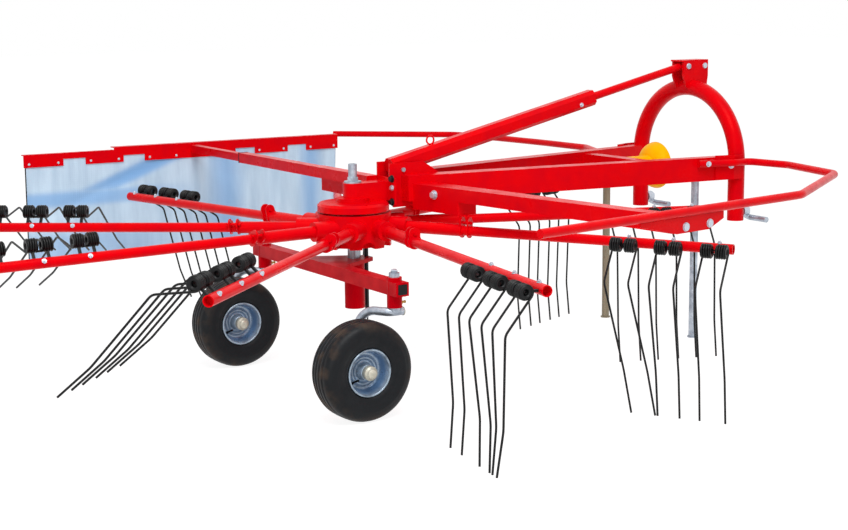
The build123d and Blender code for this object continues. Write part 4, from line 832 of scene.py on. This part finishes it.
def fold(x, down):
    """How far the cloth stands out at x mm along it and a share down, 0 at its top and 1 at its hem, mm."""
    hang = min(1.0, down / HANG_FROM) ** HANG_POWER
    forward_share = 1 / (1 + math.exp(-(x - FOLDS_FROM_X) / FOLDS_BLEND))
    broad = FOLD_DEPTH * math.sin(broad_phase(x)) * (REAR_FOLDS + (1 - REAR_FOLDS) * forward_share)
    small = RIPPLE_DEPTH * math.sin(x / RIPPLE_LENGTH + RIPPLE_START + RIPPLE_LEAN * down) * forward_share
    crease = (CREASE_DEPTH * math.exp(-(past_crease(x, down) / CREASE_HALF) ** 2) * (1 - forward_share)
              * min(1.0, CREASE_GROWTH * down))
    return CLOTH_GAP + hang * (CLOTH_STAND_OFF + broad + small) + crease


# painted shade on the cloth: the bands are painted shadow, the streaks painted shade in the folds
BLUE_REAR_X, BLUE_BLEND = 760.0, 90.0               # the level bands lie behind this, the streaks in front
BLUE_BAND_HALF, BLUE_BAND_FOOT = 120.0, 0.42        # the diagonal band, as far down as the level one
LEVEL_BAND, LEVEL_HALF = 0.43, 0.075                # as shares of the drop
HEM_BAND, HEM_BLEND, HEM_BLUE = 0.7, 0.1, 0.6
LEVEL_BLUE, STREAK_BLUE, STREAK_SHIFT = 0.8, 0.7, 1.3


def shade(x, down):
    """How much painted shade turns the cloth blue: the diagonal band and the level bands at the rear, painted
    shadow, and streaks of painted shade along the folds in front.
    """
    rear = 1 / (1 + math.exp((x - BLUE_REAR_X) / BLUE_BLEND))
    diagonal = math.exp(-(past_crease(x, down) / BLUE_BAND_HALF) ** 4)
    band = diagonal * max(0.0, 1.0 - (down / BLUE_BAND_FOOT) ** 8)
    low = rear * max(math.exp(-((down - LEVEL_BAND) / LEVEL_HALF) ** 4),
                     HEM_BLUE * min(1.0, max(0.0, (down - HEM_BAND) / HEM_BLEND)))
    streak = (1 - rear) * max(0.0, math.sin(broad_phase(x) + STREAK_SHIFT)) ** 2 * STREAK_BLUE
    return max(0.0, min(1.0, max(band, LEVEL_BLUE * low, streak)))


points = []
blue = []
for row in range(CLOTH_ROWS + 1):
    down = row / CLOTH_ROWS
    for column in range(CLOTH_COLUMNS + 1):
        x = CLOTH_MARGIN + (rail_length - 2 * CLOTH_MARGIN) * column / CLOTH_COLUMNS
        points.append(tuple(on_rail(x, fold(x, down), CLOTH_TOP + (CLOTH_BOTTOM - CLOTH_TOP) * down)))
        blue.append(shade(x, down))
wide = CLOTH_COLUMNS + 1
faces = [(r * wide + c, r * wide + c + 1, (r + 1) * wide + c + 1, (r + 1) * wide + c)
         for r in range(CLOTH_ROWS) for c in range(CLOTH_COLUMNS)]
mesh = bpy.data.meshes.new("curtain_cloth")
mesh.from_pydata(points, [], faces)
layer = mesh.color_attributes.new("blue", "FLOAT_COLOR", "POINT")
for vertex, share in enumerate(blue):
    layer.data[vertex].color = (share, share, share, 1.0)
for polygon in mesh.polygons:
    polygon.use_smooth = True
tarpaulin, tree, shader, place = material("coated_tarpaulin")
# pale blue coating over a woven base, with painted shadow and shade making it bluer along the crease, in bands
# and in streaks
WEAVE_SCALE = 1.0 / (6.0 * MM) / 6.28               # a thread every 12 mm, coarser than real, so that it shows
warp = add(tree, "ShaderNodeTexWave", {"Vector": place, "Scale": WEAVE_SCALE}, bands_direction="X")
weft = add(tree, "ShaderNodeTexWave", {"Vector": place, "Scale": WEAVE_SCALE}, bands_direction="Z")
weave = add(tree, "ShaderNodeMath", {0: warp.outputs["Fac"], 1: weft.outputs["Fac"]},
            operation="MULTIPLY")
streaks = add(tree, "ShaderNodeMapping", {"Vector": place, "Scale": (1.0, 1.0, 0.15)}).outputs["Vector"]
painted_cloth_shade = add(tree, "ShaderNodeVertexColor", layer_name="blue").outputs["Color"]
clouded = ramp(tree, noise(tree, streaks, 60.0, 4.0), 0.35, 0.65)
cloud = mixed(tree, clouded, linear("#CBE3F6"), linear("#B6D0E6"))
feed(tree, shader, {"Base Color": mixed(tree, painted_cloth_shade, cloud, linear("#7FB2E6")),
                    "Roughness": 0.55, "Sheen Weight": 0.15, "Normal": bumped(tree, weave.outputs[0], 0.3)})
cloth = shown("curtain_cloth", mesh, tarpaulin, "swath_curtain", ["curtain"])
solidify = cloth.modifiers.new("thickness", "SOLIDIFY")
solidify.thickness = CLOTH_THICK * MM
RAIL_TABS = 6
RAIL_TAB = 215.0
RIVET_INSET = 28.0
RIVET_DROP = -64.0
RIVET_SIZE = 0.75
INSIDE_RAIL = 200.0                                 # from there the tabs are looked at
rivet = fastener("rivet_shape", [(9.0, 1.5, 16, 0.98), (6.5, 5.0, 16, 0.5)])
pitch = (rail_length - RAIL_TAB) / (RAIL_TABS - 1)
rivets = []
for tab in range(RAIL_TABS):
    for x in (tab * pitch + RIVET_INSET, tab * pitch + RAIL_TAB - RIVET_INSET):
        start = on_rail(x, -INSIDE_RAIL, RIVET_DROP)
        met, place, _, _ = frame["nodes"]["curtain_rail"].ray_cast(start, rail_out)
        if met:
            rivets.append((place, -rail_out))
set_fasteners("curtain_rivets", rivet, rivets, zinc, "swath_curtain", RIVET_SIZE)
BATTEN_RADIUS, BATTEN_SIDES = 3.0, 12
BATTEN_HEIGHTS = (-60.0, -200.0, -400.0, CLOTH_BOTTOM + 4.0)
batten_line = [on_rail(CLOTH_MARGIN, BATTEN_RADIUS, up) for up in BATTEN_HEIGHTS]
batten = wire_piece("curtain_rear_batten", [batten_line], BATTEN_RADIUS, BATTEN_SIDES, black_rubber)
shown("curtain_rear_batten", batten, black_rubber, "swath_curtain")
SLEEVE_END_Y, SLEEVE_X, SLEEVE_Z = 1350.0, (105.0, 155.0), (852.5, 902.5)
CAP_LIP, CAP_DEEP, CAP_EDGE = 1.5, 5.0, 1.0         # the cap's lip stands out and in by as much
rear, front = SLEEVE_X[0] - CAP_LIP, SLEEVE_X[1] + CAP_LIP
foot, crown = SLEEVE_Z[0] - CAP_LIP, SLEEVE_Z[1] + CAP_LIP
strips = ((rear, foot, front, foot + 2 * CAP_LIP), (rear, crown - 2 * CAP_LIP, front, crown),
          (rear, foot, rear + 2 * CAP_LIP, crown), (front - 2 * CAP_LIP, foot, front, crown))
cap = [((x_low, SLEEVE_END_Y - CAP_DEEP, z_low), (x_high, SLEEVE_END_Y, z_high))
       for x_low, z_low, x_high, z_high in strips]
end_cap = boxes_mesh("curtain_arm_end_cap", cap, CAP_EDGE)
shown("curtain_arm_end_cap", end_cap, black_rubber, "frame")
